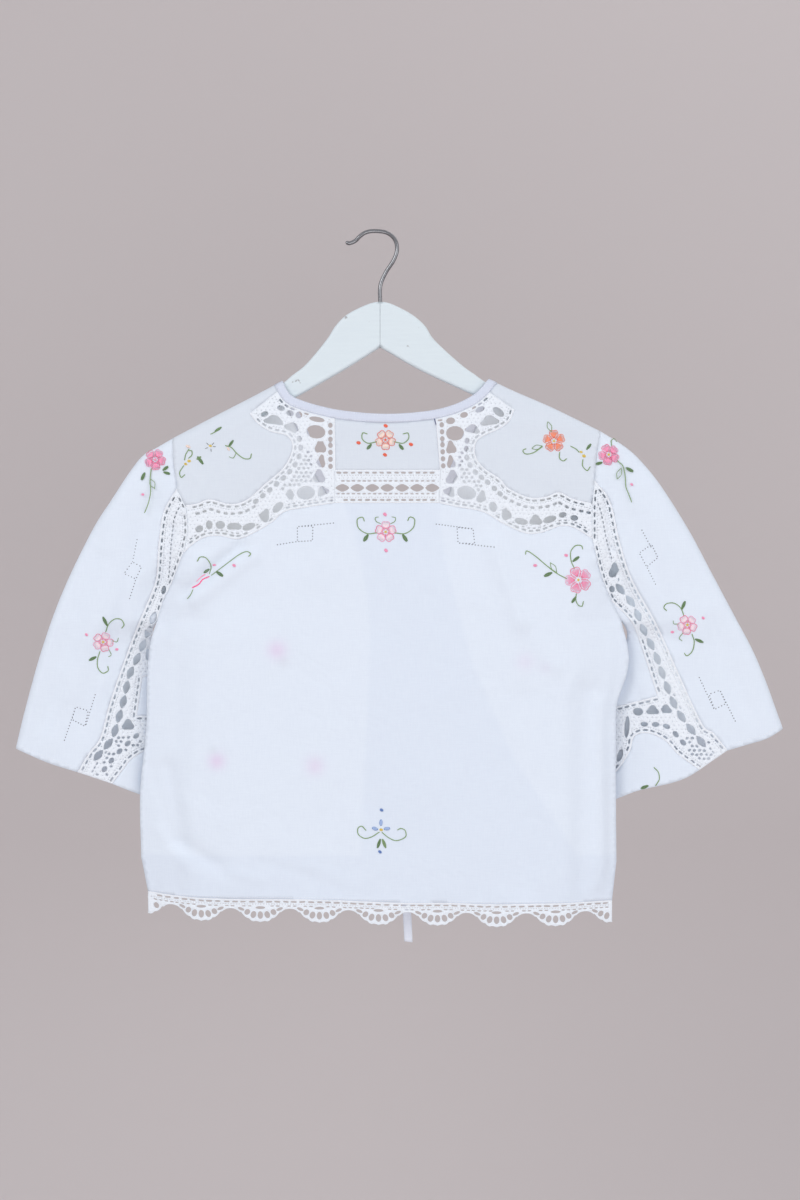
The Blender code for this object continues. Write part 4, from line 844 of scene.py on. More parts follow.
def makeYarn(name, dyed=False):
    light, hollowShade, loops, deep = yarns[name]
    rough, shine, sheen = (0.5, 0.4, 0.1) if dyed else (0.84, 0.22, 0.2)
    material, tree, shader = startMaterial("embroideryThread" if dyed else name, {
        "Roughness": rough, "Specular IOR Level": shine, "Sheen Weight": sheen})
    spot = addNode(tree, "ShaderNodeTexCoord", (-1100, 0)).outputs["Object"]
    yarn = useGroup(tree, yarnLoops, (-800, 0), spot, {"Loops Per Metre": loops})
    if dyed:
        light = addNode(tree, "ShaderNodeAttribute", (-900, 420),
                        attribute_name="dye").outputs["Color"]
        # Painted shade: the dye darkened in the hollows between loops
        hollowShade = addMix(tree, (-700, 300), 1.0, light, (0.86, 0.86, 0.86, 1.0), "MULTIPLY")
    mix = addMix(tree, (-500, 200), yarn["Hollow"], light, hollowShade)
    bump = addBump(tree, (-500, -120), yarn["Height"], 0.6, deep)
    feed(tree, shader, {"Base Color": mix, "Normal": bump})
    return material


materials = {name: makeFabric(name) for name in fabrics}
materials.update({name: makeYarn(name) for name in yarns})
materials["embroideryThread"] = makeYarn("sewingThread", dyed=True)
print("stage: finishes of cloth and yarn")


# The cut pieces: name, face, form, cloth, edges in turn

def listPanels():
    # A star stands for the side, and a minus before an edge runs it backwards
    rows = [
        ("back_body", "back", "body", "cotton",
         "-yoke_low_left ladder_low yoke_low_right armhole_d_right armhole_e_right side_a_right "
         "side_b_right -hem_back -side_b_left -side_a_left -armhole_d_left"),
        ("back_neck_patch", "back", "body", "cotton",
         "neck_low_2 patch_side_right -patch_low -patch_side_left"),
        ("back_ladder_lace", "back", "body", "lace",
         "patch_low ladder_end_right -ladder_low -ladder_end_left"),
        ("left_shoulder_cloth", "back", "body", "cotton",
         "neck_low_0 yoke_end_left yoke_up_left -armhole_b_left -armhole_a_left -shoulder_left"),
        ("right_shoulder_cloth", "back", "body", "cotton",
         "-neck_low_4 yoke_end_right yoke_up_right -armhole_b_right -armhole_a_right "
         "-shoulder_right"),
        ("left_yoke_lace", "back", "body", "lace",
         "neck_low_1 patch_side_left ladder_end_left yoke_low_left -armhole_c_left "
         "-yoke_up_left -yoke_end_left"),
        ("right_yoke_lace", "back", "body", "lace",
         "-neck_low_3 patch_side_right ladder_end_right yoke_low_right -armhole_c_right "
         "-yoke_up_right -yoke_end_right"),
        ("back_neck_binding", "back", "body", "binding",
         "neck band_top_right -neck_low_4 -neck_low_3 -neck_low_2 -neck_low_1 -neck_low_0 "
         "-band_top_left"),
    ]
    for side, hem, armhole, inner, laceTop, under in (
            ("left", "-hem_front_*", "dcba", "dcba", "under_top_* -inner_a_*",
             "under_side_* under_low_* -inner_b_* -under_top_*"),
            ("right", "hem_front_*", "edcba", "dca", "",
             "under_side_* under_low_* -inner_a_* -armhole_e_*")):
        armhole = " ".join("-armhole_%s_*" % part for part in armhole)
        inner = " ".join("-inner_%s_*" % part for part in inner)
        rows += [
            ("*_front", "front", "body", "cotton",
             "front_edge_* " + hem + " -side_a_* " + armhole + " -shoulder_*"),
            ("*_front_binding", "front", "body", "binding",
             "opening_* -band_low_* -front_edge_* -band_top_*"),
            ("*_sleeve_cloth", "back", side, "cotton",
             "sleeve_fold_* cuff_cloth_* -sleeve_lace_* -armhole_a_*"),
            ("*_sleeve_lace", "back", side, "lace",
             "sleeve_lace_* cuff_lace_* scallop_* -inner_c_* -under_low_* -under_side_* "
             + laceTop + " -armhole_d_* -armhole_c_* -armhole_b_*"),
            ("*_sleeve_underarm_cloth", "back", side, "cotton", under),
            ("*_sleeve_cuff_cloth", "back", side, "cotton", "scallop_* inner_d_* -cuff_under_*"),
            ("*_sleeve_front", "front", side, "cotton",
             "sleeve_fold_* cuff_cloth_* cuff_lace_* cuff_under_* " + inner + " " + armhole),
        ]
        rows = [[fact.replace("*", side) for fact in row] for row in rows]
    return {name: {"name": name, "face": face, "form": kind, "kind": sort,
                   "edges": edges.split()} for name, face, kind, sort, edges in rows}


panels = listPanels()
finishes = {"cotton": "whiteCotton", "lace": "crochetCotton", "binding": "biasTapeTintAndShade"}


def fillPoints(loop, holes, step, folded):
    # Points inside an outline and clear of its holes, thicker together below the top fold
    low, high = loop.min(axis=0), loop.max(axis=0)
    rows = []
    for number, down in enumerate(np.arange(low[1] + step / 2, high[1], step * 0.87)):
        across = np.arange(low[0] + (step / 2 if number % 2 else step), high[0], step)
        rows.append(np.column_stack([across, np.full(len(across), down)]))
    groups = [(np.vstack(rows), 0.55 * step)]
    if folded:
        for line in shape.folds.values():
            for row in rowsBelowFold:
                moved = np.vstack([beside(line, row), beside(line, -row)])
                groups.insert(0, (moved, 0.75 * row))
    outline = np.vstack([loop, loop[:1]])
    chosen = {}
    kept = []
    for points, apart in groups:
        points = points[isInside(points, loop)]
        if len(points):
            points = points[nearest(points, outline)[0] > min(apart, 0.4 * step)]
        points = points[clearOf(points, holes, 0.24 * step)]
        cell = 0.6 * step
        for point in points:
            key = (int(point[0] // cell), int(point[1] // cell))
            near = [other for i in (-1, 0, 1) for j in (-1, 0, 1)
                    for other in chosen.get((key[0] + i, key[1] + j), ())]
            if all(math.hypot(*(point - other)) > min(apart, cell) for other in near):
                chosen.setdefault(key, []).append(point)
                kept.append(point)
    return np.array(kept) if kept else np.empty((0, 2))


def clearOf(points, holes, margin):
    # Whether each point lies outside every hole; a hole is across, down, wide, high, tilt, lobes
    result = np.ones(len(points), bool)
    for across, down, wide, high, tilt, lobes in holes:
        lean = math.radians(tilt)
        x = (points[:, 0] - across) * math.cos(lean) + (points[:, 1] - down) * math.sin(lean)
        d = (points[:, 1] - down) * math.cos(lean) - (points[:, 0] - across) * math.sin(lean)
        result &= (x / (wide / 2 + margin)) ** 2 + (d / (high / 2 + margin)) ** 2 > 1
    return result


def holeRing(across, down, wide, high, tilt, lobes):
    size = max(wide, high)
    sides = 16 if lobes > 1 else 6 if size < 2.6 else 8 if size < 6 else 12
    turn = np.linspace(0, 2 * math.pi, sides, endpoint=False) + math.pi / sides
    swell = 1 + (0.2 if lobes == 3 else 0.07) * np.cos(lobes * (turn + math.pi / 2)) * (lobes > 1)
    square = 0.6 if lobes == 0 else 1.4 if lobes < 0 else 1.0
    x = wide / 2 * np.sign(np.cos(turn)) * abs(np.cos(turn)) ** square * swell
    d = high / 2 * np.sign(np.sin(turn)) * abs(np.sin(turn)) ** square * swell
    lean = math.radians(tilt)
    return np.column_stack([across + x * math.cos(lean) - d * math.sin(lean),
                            down + x * math.sin(lean) + d * math.cos(lean)])


def makeShell(name, loop, holes, inside, face, kind, thick, crown, material, paintedThrough):
    # A thin closed wall of cloth through an outline, with its holes cut through
    rings = [loop, *[holeRing(*hole) for hole in holes]]
    points = np.vstack(rings + [inside])
    owner = np.concatenate([np.full(len(ring), i) for i, ring in enumerate(rings)]
                           + [np.full(len(inside), -1)])
    lines = []
    for ring in rings:
        start = len(lines)
        lines += [(start + i, start + (i + 1) % len(ring)) for i in range(len(ring))]
    made = delaunay_2d_cdt([Vector(point) for point in points], lines, [], 0, 1e-6)
    spots = np.array([spot[:] for spot in made[0]])
    owner = np.array([owner[source[0]] if source else -1 for source in made[3]])
    faces = np.array([list(f) for f in made[2]])
    centres = spots[faces].mean(axis=1)
    inHole = (owner[faces[:, 0]] > 0) & (owner[faces[:, 0]] == owner[faces[:, 1]])
    inHole &= owner[faces[:, 0]] == owner[faces[:, 2]]
    one, two = spots[faces[:, 1]] - spots[faces[:, 0]], spots[faces[:, 2]] - spots[faces[:, 0]]
    area = abs(one[:, 0] * two[:, 1] - one[:, 1] * two[:, 0]) / 2
    faces = faces[isInside(centres, loop) & ~inHole & (area > 0.002)]
    lift = np.where(owner < 0, crown, 0.0)
    outer, away = shape.lay(spots, face, kind, lift + thick / 2)
    inner, away = shape.lay(spots, face, kind, -lift - thick / 2)
    total = len(spots)
    # Edges used by one face only are the rims
    pairs = np.vstack([faces[:, [0, 1]], faces[:, [1, 2]], faces[:, [2, 0]]])
    keys = dict.fromkeys(map(tuple, pairs.tolist()))
    rims = [(start, end) for start, end in keys if (end, start) not in keys]
    solid = []
    for a, b, c in faces.tolist():
        solid += [(a, b, c), (a + total, c + total, b + total)]
    solid += [(b, a, a + total, b + total) for a, b in rims]
    if face != "back":
        solid = [spots[::-1] if len(spots) > 3 else (spots[0], spots[2], spots[1])
                 for spots in solid]
    thing, mesh = makeThing(name, np.vstack([outer, inner]).tolist(), [], solid)
    setFacts(mesh, spots, paintedThrough(spots) if paintedThrough else None)
    turnOutward(mesh)
    mesh.shade_smooth()
    mesh.materials.append(material)
    return thing


def setFacts(mesh, flat, colours):
    # The flat cut as a UV map, and the painted show-through, light and shade from behind the
    # cloth, as a colour on the outer face
    layer = mesh.uv_layers.new(name="cut")
    corner = np.empty(len(mesh.loops), int)
    mesh.loops.foreach_get("vertex_index", corner)
    spots = np.vstack([flat, flat])[corner] * mm
    layer.data.foreach_set("uv", spots.astype(np.float32).ravel())
    values = np.ones((len(mesh.vertices), 4), np.float32)
    if colours is not None:
        values[:len(flat), :3] = colours
    layer = mesh.color_attributes.new("paintedThrough", "FLOAT_COLOR", "POINT")
    layer.data.foreach_set("color", values.ravel())


def turnOutward(mesh):
    count = len(mesh.polygons)
    centres, normals, areas = np.empty(count * 3), np.empty(count * 3), np.empty(count)
    mesh.polygons.foreach_get("center", centres)
    mesh.polygons.foreach_get("normal", normals)
    mesh.polygons.foreach_get("area", areas)
    if np.sum(centres.reshape(-1, 3) * normals.reshape(-1, 3) * areas[:, None]) < 0:
        mesh.flip_normals()


def outerLoop(names):
    points = []
    for name in names:
        run = fineEdges[name[1:]][::-1] if name.startswith("-") else fineEdges[name]
        points.extend(run[:-1])
    return turnRight(np.array(points))


def stateCut(loop, area):
    # The flat cut of a piece: its length and width along its own main direction
    middle = loop - loop.mean(axis=0)
    way = np.linalg.svd(middle, full_matrices=False)[2]
    along, across = (np.ptp(middle @ direction) * mm for direction in way[:2])
    area *= mm * mm
    width = min(across, area / along / 0.4)
    min(area, 0.999 * width * along)


# Painted show-through: the back's colour is painted darker, as shade, where only its own layer
# hangs over the dark inside, and tinted faintly where the fronts' flowers stand behind it, for
# light that comes through thin cloth. Rows: across, down, radius, red, green, blue taken away
paintedShowThrough = {
    "oneLayerShade": (0.035, 0.03, 0.018),
    "thinShade": (0.07, 0.078, 0.09),
    "edgeSoft": 3.0,
    "spots": (
        (-98, 419, 9, 0.0, 0.16, 0.07),
        (-91, 431, 6, 0.05, 0.06, 0.06),
        (-158, 530, 8, 0.0, 0.18, 0.08),
        (-162, 519, 4, 0.05, 0.04, 0.05),
        (-60, 535, 9, 0.0, 0.12, 0.06),
        (150, 431, 9, 0.0, 0.06, 0.03),
        (170, 437, 6, 0.02, 0.05, 0.03),
    ),
}


def paintBackShowThrough(points):
    # Painted shade where no front hangs behind, and the fronts' flowers painted faintly in
    colours = np.ones((len(points), 3))
    bare = np.ones(len(points))
    for side, toward in (("left", 1), ("right", -1)):
        line = coarseEdges["opening_" + side]
        order = np.argsort(line[:, 1])
        across = np.interp(points[:, 1], line[order, 1], line[order, 0])
        beyond = (points[:, 0] - across) * toward / paintedShowThrough["edgeSoft"]
        bare *= ease(beyond / 2 + 0.5)
    bare = np.maximum(bare, ease((points[:, 1] - 622) / 4))
    colours -= bare[:, None] * np.array(paintedShowThrough["oneLayerShade"])
    for across, down, radius, *taken in paintedShowThrough["spots"]:
        away = np.linalg.norm(points - (across, down), axis=1)
        spread = np.exp(-(away / radius) ** 2)
        colours -= spread[:, None] * np.array(taken)
    return colours


def paintThinShade(points):
    # Painted shade: a single layer over the dark inside of the garment is painted darker
    return np.ones((len(points), 3)) - np.array(paintedShowThrough["thinShade"])


paintedShowThrough["on"] = {
    "back_body": paintBackShowThrough, "back_neck_patch": paintThinShade,
    "left_shoulder_cloth": paintThinShade, "right_shoulder_cloth": paintThinShade,
}


def makeCotton():
    for panel in panels.values():
        if panel["kind"] == "lace":
            continue
        loop, area = outerLoop(panel["edges"])
        names = panel["edges"]
        folded = any("fold" in n or "shoulder" in n or "band_top" in n for n in names)
        binding = panel["kind"] == "binding"
        step = cloth["clothStep" if panel["face"] == "back" else "frontStep"]
        inside = fillPoints(loop, (), 2.6 if binding else step, folded)
        thing = makeShell(
            "visual_" + panel["name"], loop, (), inside, panel["face"], panel["form"],
            cloth["bandThick" if binding else "thick"], 0.25 if binding else 0.0,
            materials[finishes[panel["kind"]]],
            paintedShowThrough["on"].get(panel["name"]))
        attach(thing, "root")
        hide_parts(panel["name"])
        stateCut(loop, area)


makeCotton()
print("stage: woven pieces and bindings")


# Crochet: holes are across, down, wide, high, tilt and lobes; 0 lobes is
# a slot with square ends and -1 a lens with pointed ends

laceGaps = {
    "left_yoke_lace": ((-110.5, 183, 9, 6, -20, 1), (-94, 177, 7, 4.6, 20, 1),
        (-85, 182.2, 7, 5, 20, 1), (-76, 184, 6, 6, 20, 1), (-58, 188.5, 14, 4.6, 10, 1),
        (-101, 189.5, 17, 8, 8, 3), (-82.5, 197, 14, 8, 25, 1), (-59, 201, 18, 11, 8, 2),
        (-54.5, 216, 9.5, 12, 0, 1), (-54, 231, 8, 12, 10, 1), (-56, 246, 11, 12.5, 0, 1),
        (-52, 260.5, 10, 8, -25, 1), (-69, 262, 17, 11, -5, 2), (-85, 264.5, 9, 9, 0, 1),
        (-97, 276.5, 12, 6.5, -45, 1), (-110.5, 285, 9, 11.5, 25, 1), (-126, 295.8, 12, 6, -22, 1),
        (-140.5, 294.5, 13, 9.5, 0, 3), (-154.5, 294, 8.5, 7, 0, 1), (-165.5, 294, 6, 8, 0, 1),
        (-175.5, 298, 7, 6, -30, 1)),
    "right_yoke_lace": ((75.5, 190, 8, 6, -8, 1), (89, 184, 7, 5, -15, 1),
        (105, 178.5, 9, 4.6, -25, 1), (123.5, 181, 12, 6.5, 38, 1), (114.5, 190, 16, 8.5, -8, 3),
        (97.5, 198.5, 14, 8.5, 10, 1), (80, 202.5, 17, 12, 0, 2), (76, 217, 9, 12, -8, 1),
        (76, 231.5, 8, 12.5, -8, 1), (77.5, 247, 11, 12, 0, 1), (74.5, 261, 10, 8, 30, 1),
        (91.5, 262, 18, 11, 10, 2), (106.5, 266.5, 8, 11, 10, 1), (118, 276, 7, 9, -20, 1),
        (131, 283, 8, 12, -20, 1), (146, 290.5, 13, 6, 12, 1), (160.5, 289.5, 12, 10, 0, 3),
        (174.5, 288.5, 13, 6.5, -18, 1), (187.5, 284, 7, 5, -10, 1), (199, 287, 7, 5, 8, 1)),
    "left_sleeve_lace": ((-212, 359, 4.6, 8, 15, 1), (-228.5, 421, 5.5, 16, 12, 1),
        (-249, 495, 10, 9.5, 0, 1)),
    "right_sleeve_lace": ((240, 340, 10, 13, 0, 1), (237.5, 358, 6, 7, -20, 1),
        (292, 479, 12, 9, 0, 3), (279, 480, 11, 8.5, 0, 3), (265, 481.5, 9, 7, 0, 1),
        (254, 497, 4.6, 20, 4, 1), (247, 526, 5, 12, 18, 1)),
}

# Runs of like gaps: the run's own points, how many, wide across it, long along it
gapRuns = {
    "left_yoke_lace": (
        (((-75.5, 208), (-74.5, 221), (-82, 237), (-99, 254), (-119, 270.5)), 10, 4.4, 5.4),
        (((-44.6, 194.5), (-44.4, 235.5)), 7, 4.2, 4.8)),
    "right_yoke_lace": ((((92, 210), (91.5, 225), (98, 239), (112, 251), (125, 263)), 9, 4.4, 5.4),
        (((66.7, 194), (68.2, 235)), 7, 4.2, 4.8)),
    "back_ladder_lace": ((((-32.5, 257), (57, 257)), 7, 9.0, 12.4),),
    "left_sleeve_lace": (
        (((-223, 387), (-232.5, 410), (-241, 430), (-248, 446), (-253, 469),
            (-259, 491), (-265, 509), (-278, 525)), 11, 7.0, 10.4),
        (((-241, 506), (-257, 521), (-272, 539)), 5, 4.4, 6.0)),
    "right_sleeve_lace": (
        (((246, 358), (259, 374), (270, 399), (281, 421), (291, 450),
            (300, 473), (311, 491), (327, 511)), 12, 7.0, 10.6),
        (((271, 494), (293, 496), (309, 512)), 5, 4.4, 6.6)),
}

lacework = {
    # Rows beside each seam: inset, long, wide, pitch
    "slots": (2.4, 4.9, 1.9, 7.2),
    "dots": (5.0, 0.85, 0.85, 2.75),
    "net": (3.6, 2.8),  # open mesh, wide and high
    "netPitch": 4.7,
    "mesh": (0.75, 0.75),  # pinholes that fill the rest
    "meshPitch": 4.4,
    "yarn": 0.75,  # least yarn left between two holes
    "rim": 1.1,  # least yarn left beside a seam
    "crown": 0.28,  # how far the yarn rounds up between holes
    "openUp": 1.14,  # the gaps of the plain solids open up this much
    "seed": 7,
}

# Seams that have a row of slots, and what stands in the ladder
slotRows = {
    "left_yoke_lace": ("yoke_up_left", "yoke_low_left", "patch_side_left", "neck_low_1"),
    "right_yoke_lace": ("yoke_up_right", "yoke_low_right", "patch_side_right", "neck_low_3"),
    "back_ladder_lace": ("patch_low", "ladder_low"),
    "left_sleeve_lace": ("sleeve_lace_left", "under_side_left", "under_low_left", "scallop_left",
        "armhole_b_left", "armhole_c_left", "armhole_d_left"),
    "right_sleeve_lace": ("sleeve_lace_right", "under_side_right", "under_low_right",
        "scallop_right", "armhole_b_right", "armhole_c_right", "armhole_d_right"),
}
# Further rows: seam, inset, long, wide, pitch
extraRows = {
    "left_yoke_lace": (("yoke_up_left", 9.4, 4.6, 2.6, 7.4),
        ("yoke_low_left", 5.0, 3.0, 1.2, 5.4)),
    "right_yoke_lace": (("yoke_up_right", 9.4, 4.6, 2.6, 7.4),
        ("yoke_low_right", 5.0, 3.0, 1.2, 5.4)),
    "back_ladder_lace": (("patch_low", 10.6, 3.6, 1.3, 5.3), ("ladder_low", 8.6, 3.6, 1.3, 5.3)),
    "left_sleeve_lace": (("sleeve_lace_left", 12.0, 3.0, 1.5, 4.6),),
    "right_sleeve_lace": (("sleeve_lace_right", 12.0, 3.0, 1.5, 4.6),),
}


# Where open mesh stands: top left and bottom right
netAreas = {
    "left_yoke_lace": ((-95, 221), (-63, 259)), "right_yoke_lace": ((84, 221), (115, 259)),
    "left_sleeve_lace": ((-281, 504), (-235, 554)), "right_sleeve_lace": ((261, 504), (337, 549)),
}


def runGaps(points, count, wide, long):
    line = softCurve(points, 1.0)
    rows = []
    for mark in np.linspace(0, len(line) - 1, count):
        here = line[int(round(mark))]
        way = line[min(len(line) - 1, int(mark) + 3)] - line[max(0, int(mark) - 3)]
        rows.append((here[0], here[1], long, wide, math.degrees(math.atan2(way[1], way[0])), 1))
    return rows


def insideOf(line, loop):
    # Which side of a seam lies inside an outline
    middle = len(line) // 2
    return 1 if isInside(beside(line, 1.0)[middle:middle + 1], loop)[0] else -1


def seamCurve(line, step):
    return softCurve(line if len(line) > 2 else (line[0], line[-1]), step)


def rowHoles(line, loop, inset, long, wide, pitch, lobes, dice):
    # Holes set along a line that runs beside a seam, inside the outline
    line = seamCurve(line, 1.0)
    moved = beside(line, insideOf(line, loop) * inset)
    rows = []
    for here, way in walk(moved, pitch / 2, pitch, 2,
                          shift=lambda: dice.uniform(-0.06, 0.06) * pitch):
        tilt = math.degrees(math.atan2(way[1], way[0]))
        scale = dice.uniform(0.9, 1.06)
        rows.append((*here, long * scale, wide * scale, tilt + dice.uniform(-5, 5), lobes))
    return rows


def addClear(holes, more, loop, margin):
    # Keep each new hole that leaves enough yarn beside the others and beside the seams
    outline = np.vstack([loop, loop[:1]])
    for hole in more:
        ring = holeRing(*hole)
        if not isInside(ring, loop).all() or nearest(ring, outline)[0].min() < lacework["rim"]:
            continue
        near = [other for other in holes
                if abs(other[0] - hole[0]) + abs(other[1] - hole[1]) < 24]
        spots = np.vstack([ring, [hole[:2]]])
        if clearOf(spots, near, margin).all():
            holes.append(hole)


def fillNet(holes, loop, pitch, size, dice, area=None):
    # Even mesh in what is left of a piece
    low, high = loop.min(axis=0), loop.max(axis=0)
    spots = []
    for number, down in enumerate(np.arange(low[1], high[1], pitch * 0.87)):
        for across in np.arange(low[0] + (pitch / 2 if number % 2 else 0), high[0], pitch):
            spots.append((across + dice.uniform(-0.07, 0.07) * pitch,
                          down + dice.uniform(-0.07, 0.07) * pitch))
    spots = np.array(spots)
    if area:
        spots = spots[(spots >= area[0]).all(axis=1) & (spots <= area[1]).all(axis=1)]
    spots = spots[isInside(spots, loop)]
    half = max(size) / 2
    spots = spots[nearest(spots, np.vstack([loop, loop[:1]]))[0] > half + lacework["rim"]]
    spots = spots[clearOf(spots, holes, half + lacework["yarn"])]
    for across, down in spots:
        scale = dice.uniform(0.85, 1.08)
        holes.append((across, down, size[0] * scale, size[1] * scale, dice.uniform(-40, 40), 1))


def lens(hole):
    # The large ovals of a run are lenses, a little longer and narrower
    across, down, long, wide, tilt, lobes = hole
    if max(long, wide) < 9:
        return hole
    return across, down, long * 1.2, wide * 0.92, tilt, -1


def openGaps(gaps):
    # Where two gaps would meet, both are made smaller until yarn is left between them
    for turn in range(6):
        rings = [holeRing(*gap) for gap in gaps]
        for number, gap in enumerate(gaps):
            near = [other for place, other in enumerate(gaps) if place != number
                    and abs(other[0] - gap[0]) + abs(other[1] - gap[1]) < 30]
            if near and not clearOf(rings[number], near, lacework["yarn"]).all():
                gaps[number] = (*gap[:2], gap[2] * 0.94, gap[3] * 0.94, *gap[4:])
    return gaps


def laceHoles(name, loop):
    dice = random.Random(lacework["seed"] + len(name))
    large = [*laceGaps.get(name, ())]
    for run in gapRuns.get(name, ()):
        large += [lens(hole) for hole in runGaps(*run)]
    grow = lacework["openUp"]
    large = openGaps([
        (across, down, wide * grow, high * grow, tilt,
         3 if lobes == 1 and wide > 7 and high > 7 and "ladder" not in name else lobes)
        for across, down, wide, high, tilt, lobes in large])
    holes = list(large)
    seams = slotRows.get(name, ())
    rows = [(seam, *lacework["slots"], 0) for seam in seams]
    rows += [(*row, 0) for row in extraRows.get(name, ())]
    rows += [(seam, *lacework["dots"], 1) for seam in seams]
    for seam, *sizes in rows:
        addClear(holes, rowHoles(fineEdges[seam], loop, *sizes, dice), loop, lacework["yarn"])
    if name in netAreas:
        fillNet(holes, loop, lacework["netPitch"], lacework["net"], dice, netAreas[name])
    fillNet(holes, loop, lacework["meshPitch"], lacework["mesh"], dice)
    return large, holes


# Raised threads: a tree that turns lines of points into round yarn

def makeYarnTree():
    tree, given = startTree("layYarn", "GeometryNodeTree", {
        "Geometry": ("Geometry", None), "Sides": ("Int", 5), "Yarn Size": ("Float", 1.0),
        "Material": ("Material", None)}, {"Geometry": ("Geometry", None)})
    line = addNode(tree, "GeometryNodeMeshToCurve", (-600, 100), {"Mesh": given["Geometry"]})
    thick = addNode(tree, "GeometryNodeInputNamedAttribute", (-600, -160), {"Name": "thick"},
                    data_type="FLOAT")
    size = addMath(tree, (-400, -160), "MULTIPLY", thick.outputs["Attribute"],
                   given["Yarn Size"])
    ring = addNode(tree, "GeometryNodeCurvePrimitiveCircle", (-200, -120), {
        "Resolution": given["Sides"], "Radius": 1.0})
    tube = addNode(tree, "GeometryNodeCurveToMesh", (0, 100), {
        "Curve": line.outputs["Curve"], "Profile Curve": ring.outputs["Curve"], "Scale": size,
        "Fill Caps": True})
    finishTree(tree, tube.outputs["Mesh"], given["Material"])
    return tree


def finishTree(tree, made, material):
    # Make its instances real, shade it smooth, give it a material and hand it out
    for number, kind in enumerate(("RealizeInstances", "SetShadeSmooth", "SetMaterial")):
        inputs = {"Geometry": made}
        if kind == "SetMaterial":
            inputs["Material"] = material
        made = addNode(tree, "GeometryNode" + kind, (200 + 200 * number, 0),
                       inputs).outputs["Geometry"]
    addNode(tree, "NodeGroupOutput", (800, 0), {"Geometry": made})


def bakeTree(thing, tree, values):
    # Run a tree on a piece and keep the plain mesh that it makes
    modifier = thing.modifiers.new(tree.name, "NODES")
    modifier.node_group = tree
    for item in tree.interface.items_tree:
        if item.item_type == "SOCKET" and item.in_out == "INPUT" and item.name in values:
            modifier[item.identifier] = values[item.name]
    bakeModifiers(thing)


def bakeModifiers(thing):
    graph = bpy.context.evaluated_depsgraph_get()
    mesh = bpy.data.meshes.new_from_object(thing.evaluated_get(graph), depsgraph=graph)
    thing.modifiers.clear()
    start = thing.data
    thing.data = mesh
    bpy.data.meshes.remove(start)


yarnTree = makeYarnTree()


class YarnLines:
    # Collects lines of yarn that lie on the cloth, then makes one piece of them

    def __init__(self, name, face, kind):
        self.name, self.face, self.kind = name, face, kind
        self.flat, self.lift, self.thick, self.edges = [], [], [], []

    def add(self, points, thick, lift, closed=False):
        start = len(self.flat)
        count = len(points)
        self.flat.extend(points)
        self.lift.extend([lift] * count)
        self.thick.extend([thick * mm] * count)
        self.edges += [(start + i, start + i + 1) for i in range(count - 1)]
        if closed:
            self.edges.append((start + count - 1, start))

    def make(self, material, slot):
        spots, away = shape.lay(np.array(self.flat), self.face, self.kind, np.array(self.lift))
        thing, mesh = makeThing(self.name, spots.tolist(), self.edges, [])
        setPoints(mesh, "thick", "FLOAT", "value", self.thick)
        bakeTree(thing, yarnTree, {"Sides": 5, "Yarn Size": 1.0, "Material": material})
        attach(thing, "root")
        return thing


yarnSizes = {
    "seamCord": 0.62,  # half thickness of the cord that joins crochet to cloth
    "innerCord": 0.42,  # the finer cords between rows of holes
    "gapRim": 0.42,  # round each large gap
    "scallopRim": 0.75,
    "lift": 0.42,
}


def laceYarns(name, panel, loop, large, holes):
    lines = YarnLines("yarn_" + name, panel["face"], panel["form"])
    lift = yarnSizes["lift"]
    for seam in slotRows.get(name, ()):
        line = seamCurve(fineEdges[seam], 2.2)
        sign = insideOf(line, loop)
        for inset, thick in ((0.7, yarnSizes["seamCord"]),
                             (lacework["slots"][0] + 1.6, yarnSizes["innerCord"])):
            moved = beside(line, sign * inset)
            clear = isInside(moved, loop) & clearOf(moved, large, 0.3)
            for part in solidRuns(moved, clear):
                lines.add(part, thick, lift)
    for across, down, wide, high, tilt, lobes in holes:
        if max(wide, high) > 3.4 and lobes != 0:
            grow = 2 * yarnSizes["gapRim"]
            ring = holeRing(across, down, wide + grow, high + grow, tilt, lobes)
            lines.add(ring, yarnSizes["gapRim"], lift, True)
    if name == "back_ladder_lace":
        for run in gapRuns[name]:
            row = runGaps(*run)
            for one, two in zip(row[:-1], row[1:]):
                middle = (one[0] + two[0]) / 2
                for sign in (-1, 1):
                    bar = ((middle - 3.6, one[1] - sign * 4.0), (middle, one[1]),
                           (middle + 3.6, one[1] + sign * 4.0))
                    lines.add(softCurve(bar, 1.6), yarnSizes["gapRim"], lift)
    return lines.make(materials["crochetThread"], "lace")


def solidRuns(points, clear):
    # The stretches of a line that are clear, as lines of their own
    runs, now = [], []
    for point, good in zip(points, clear):
        if good:
            now.append(point)
        elif now:
            runs.append(now)
            now = []
    runs.append(now)
    return [np.array(run) for run in runs if len(run) > 2]


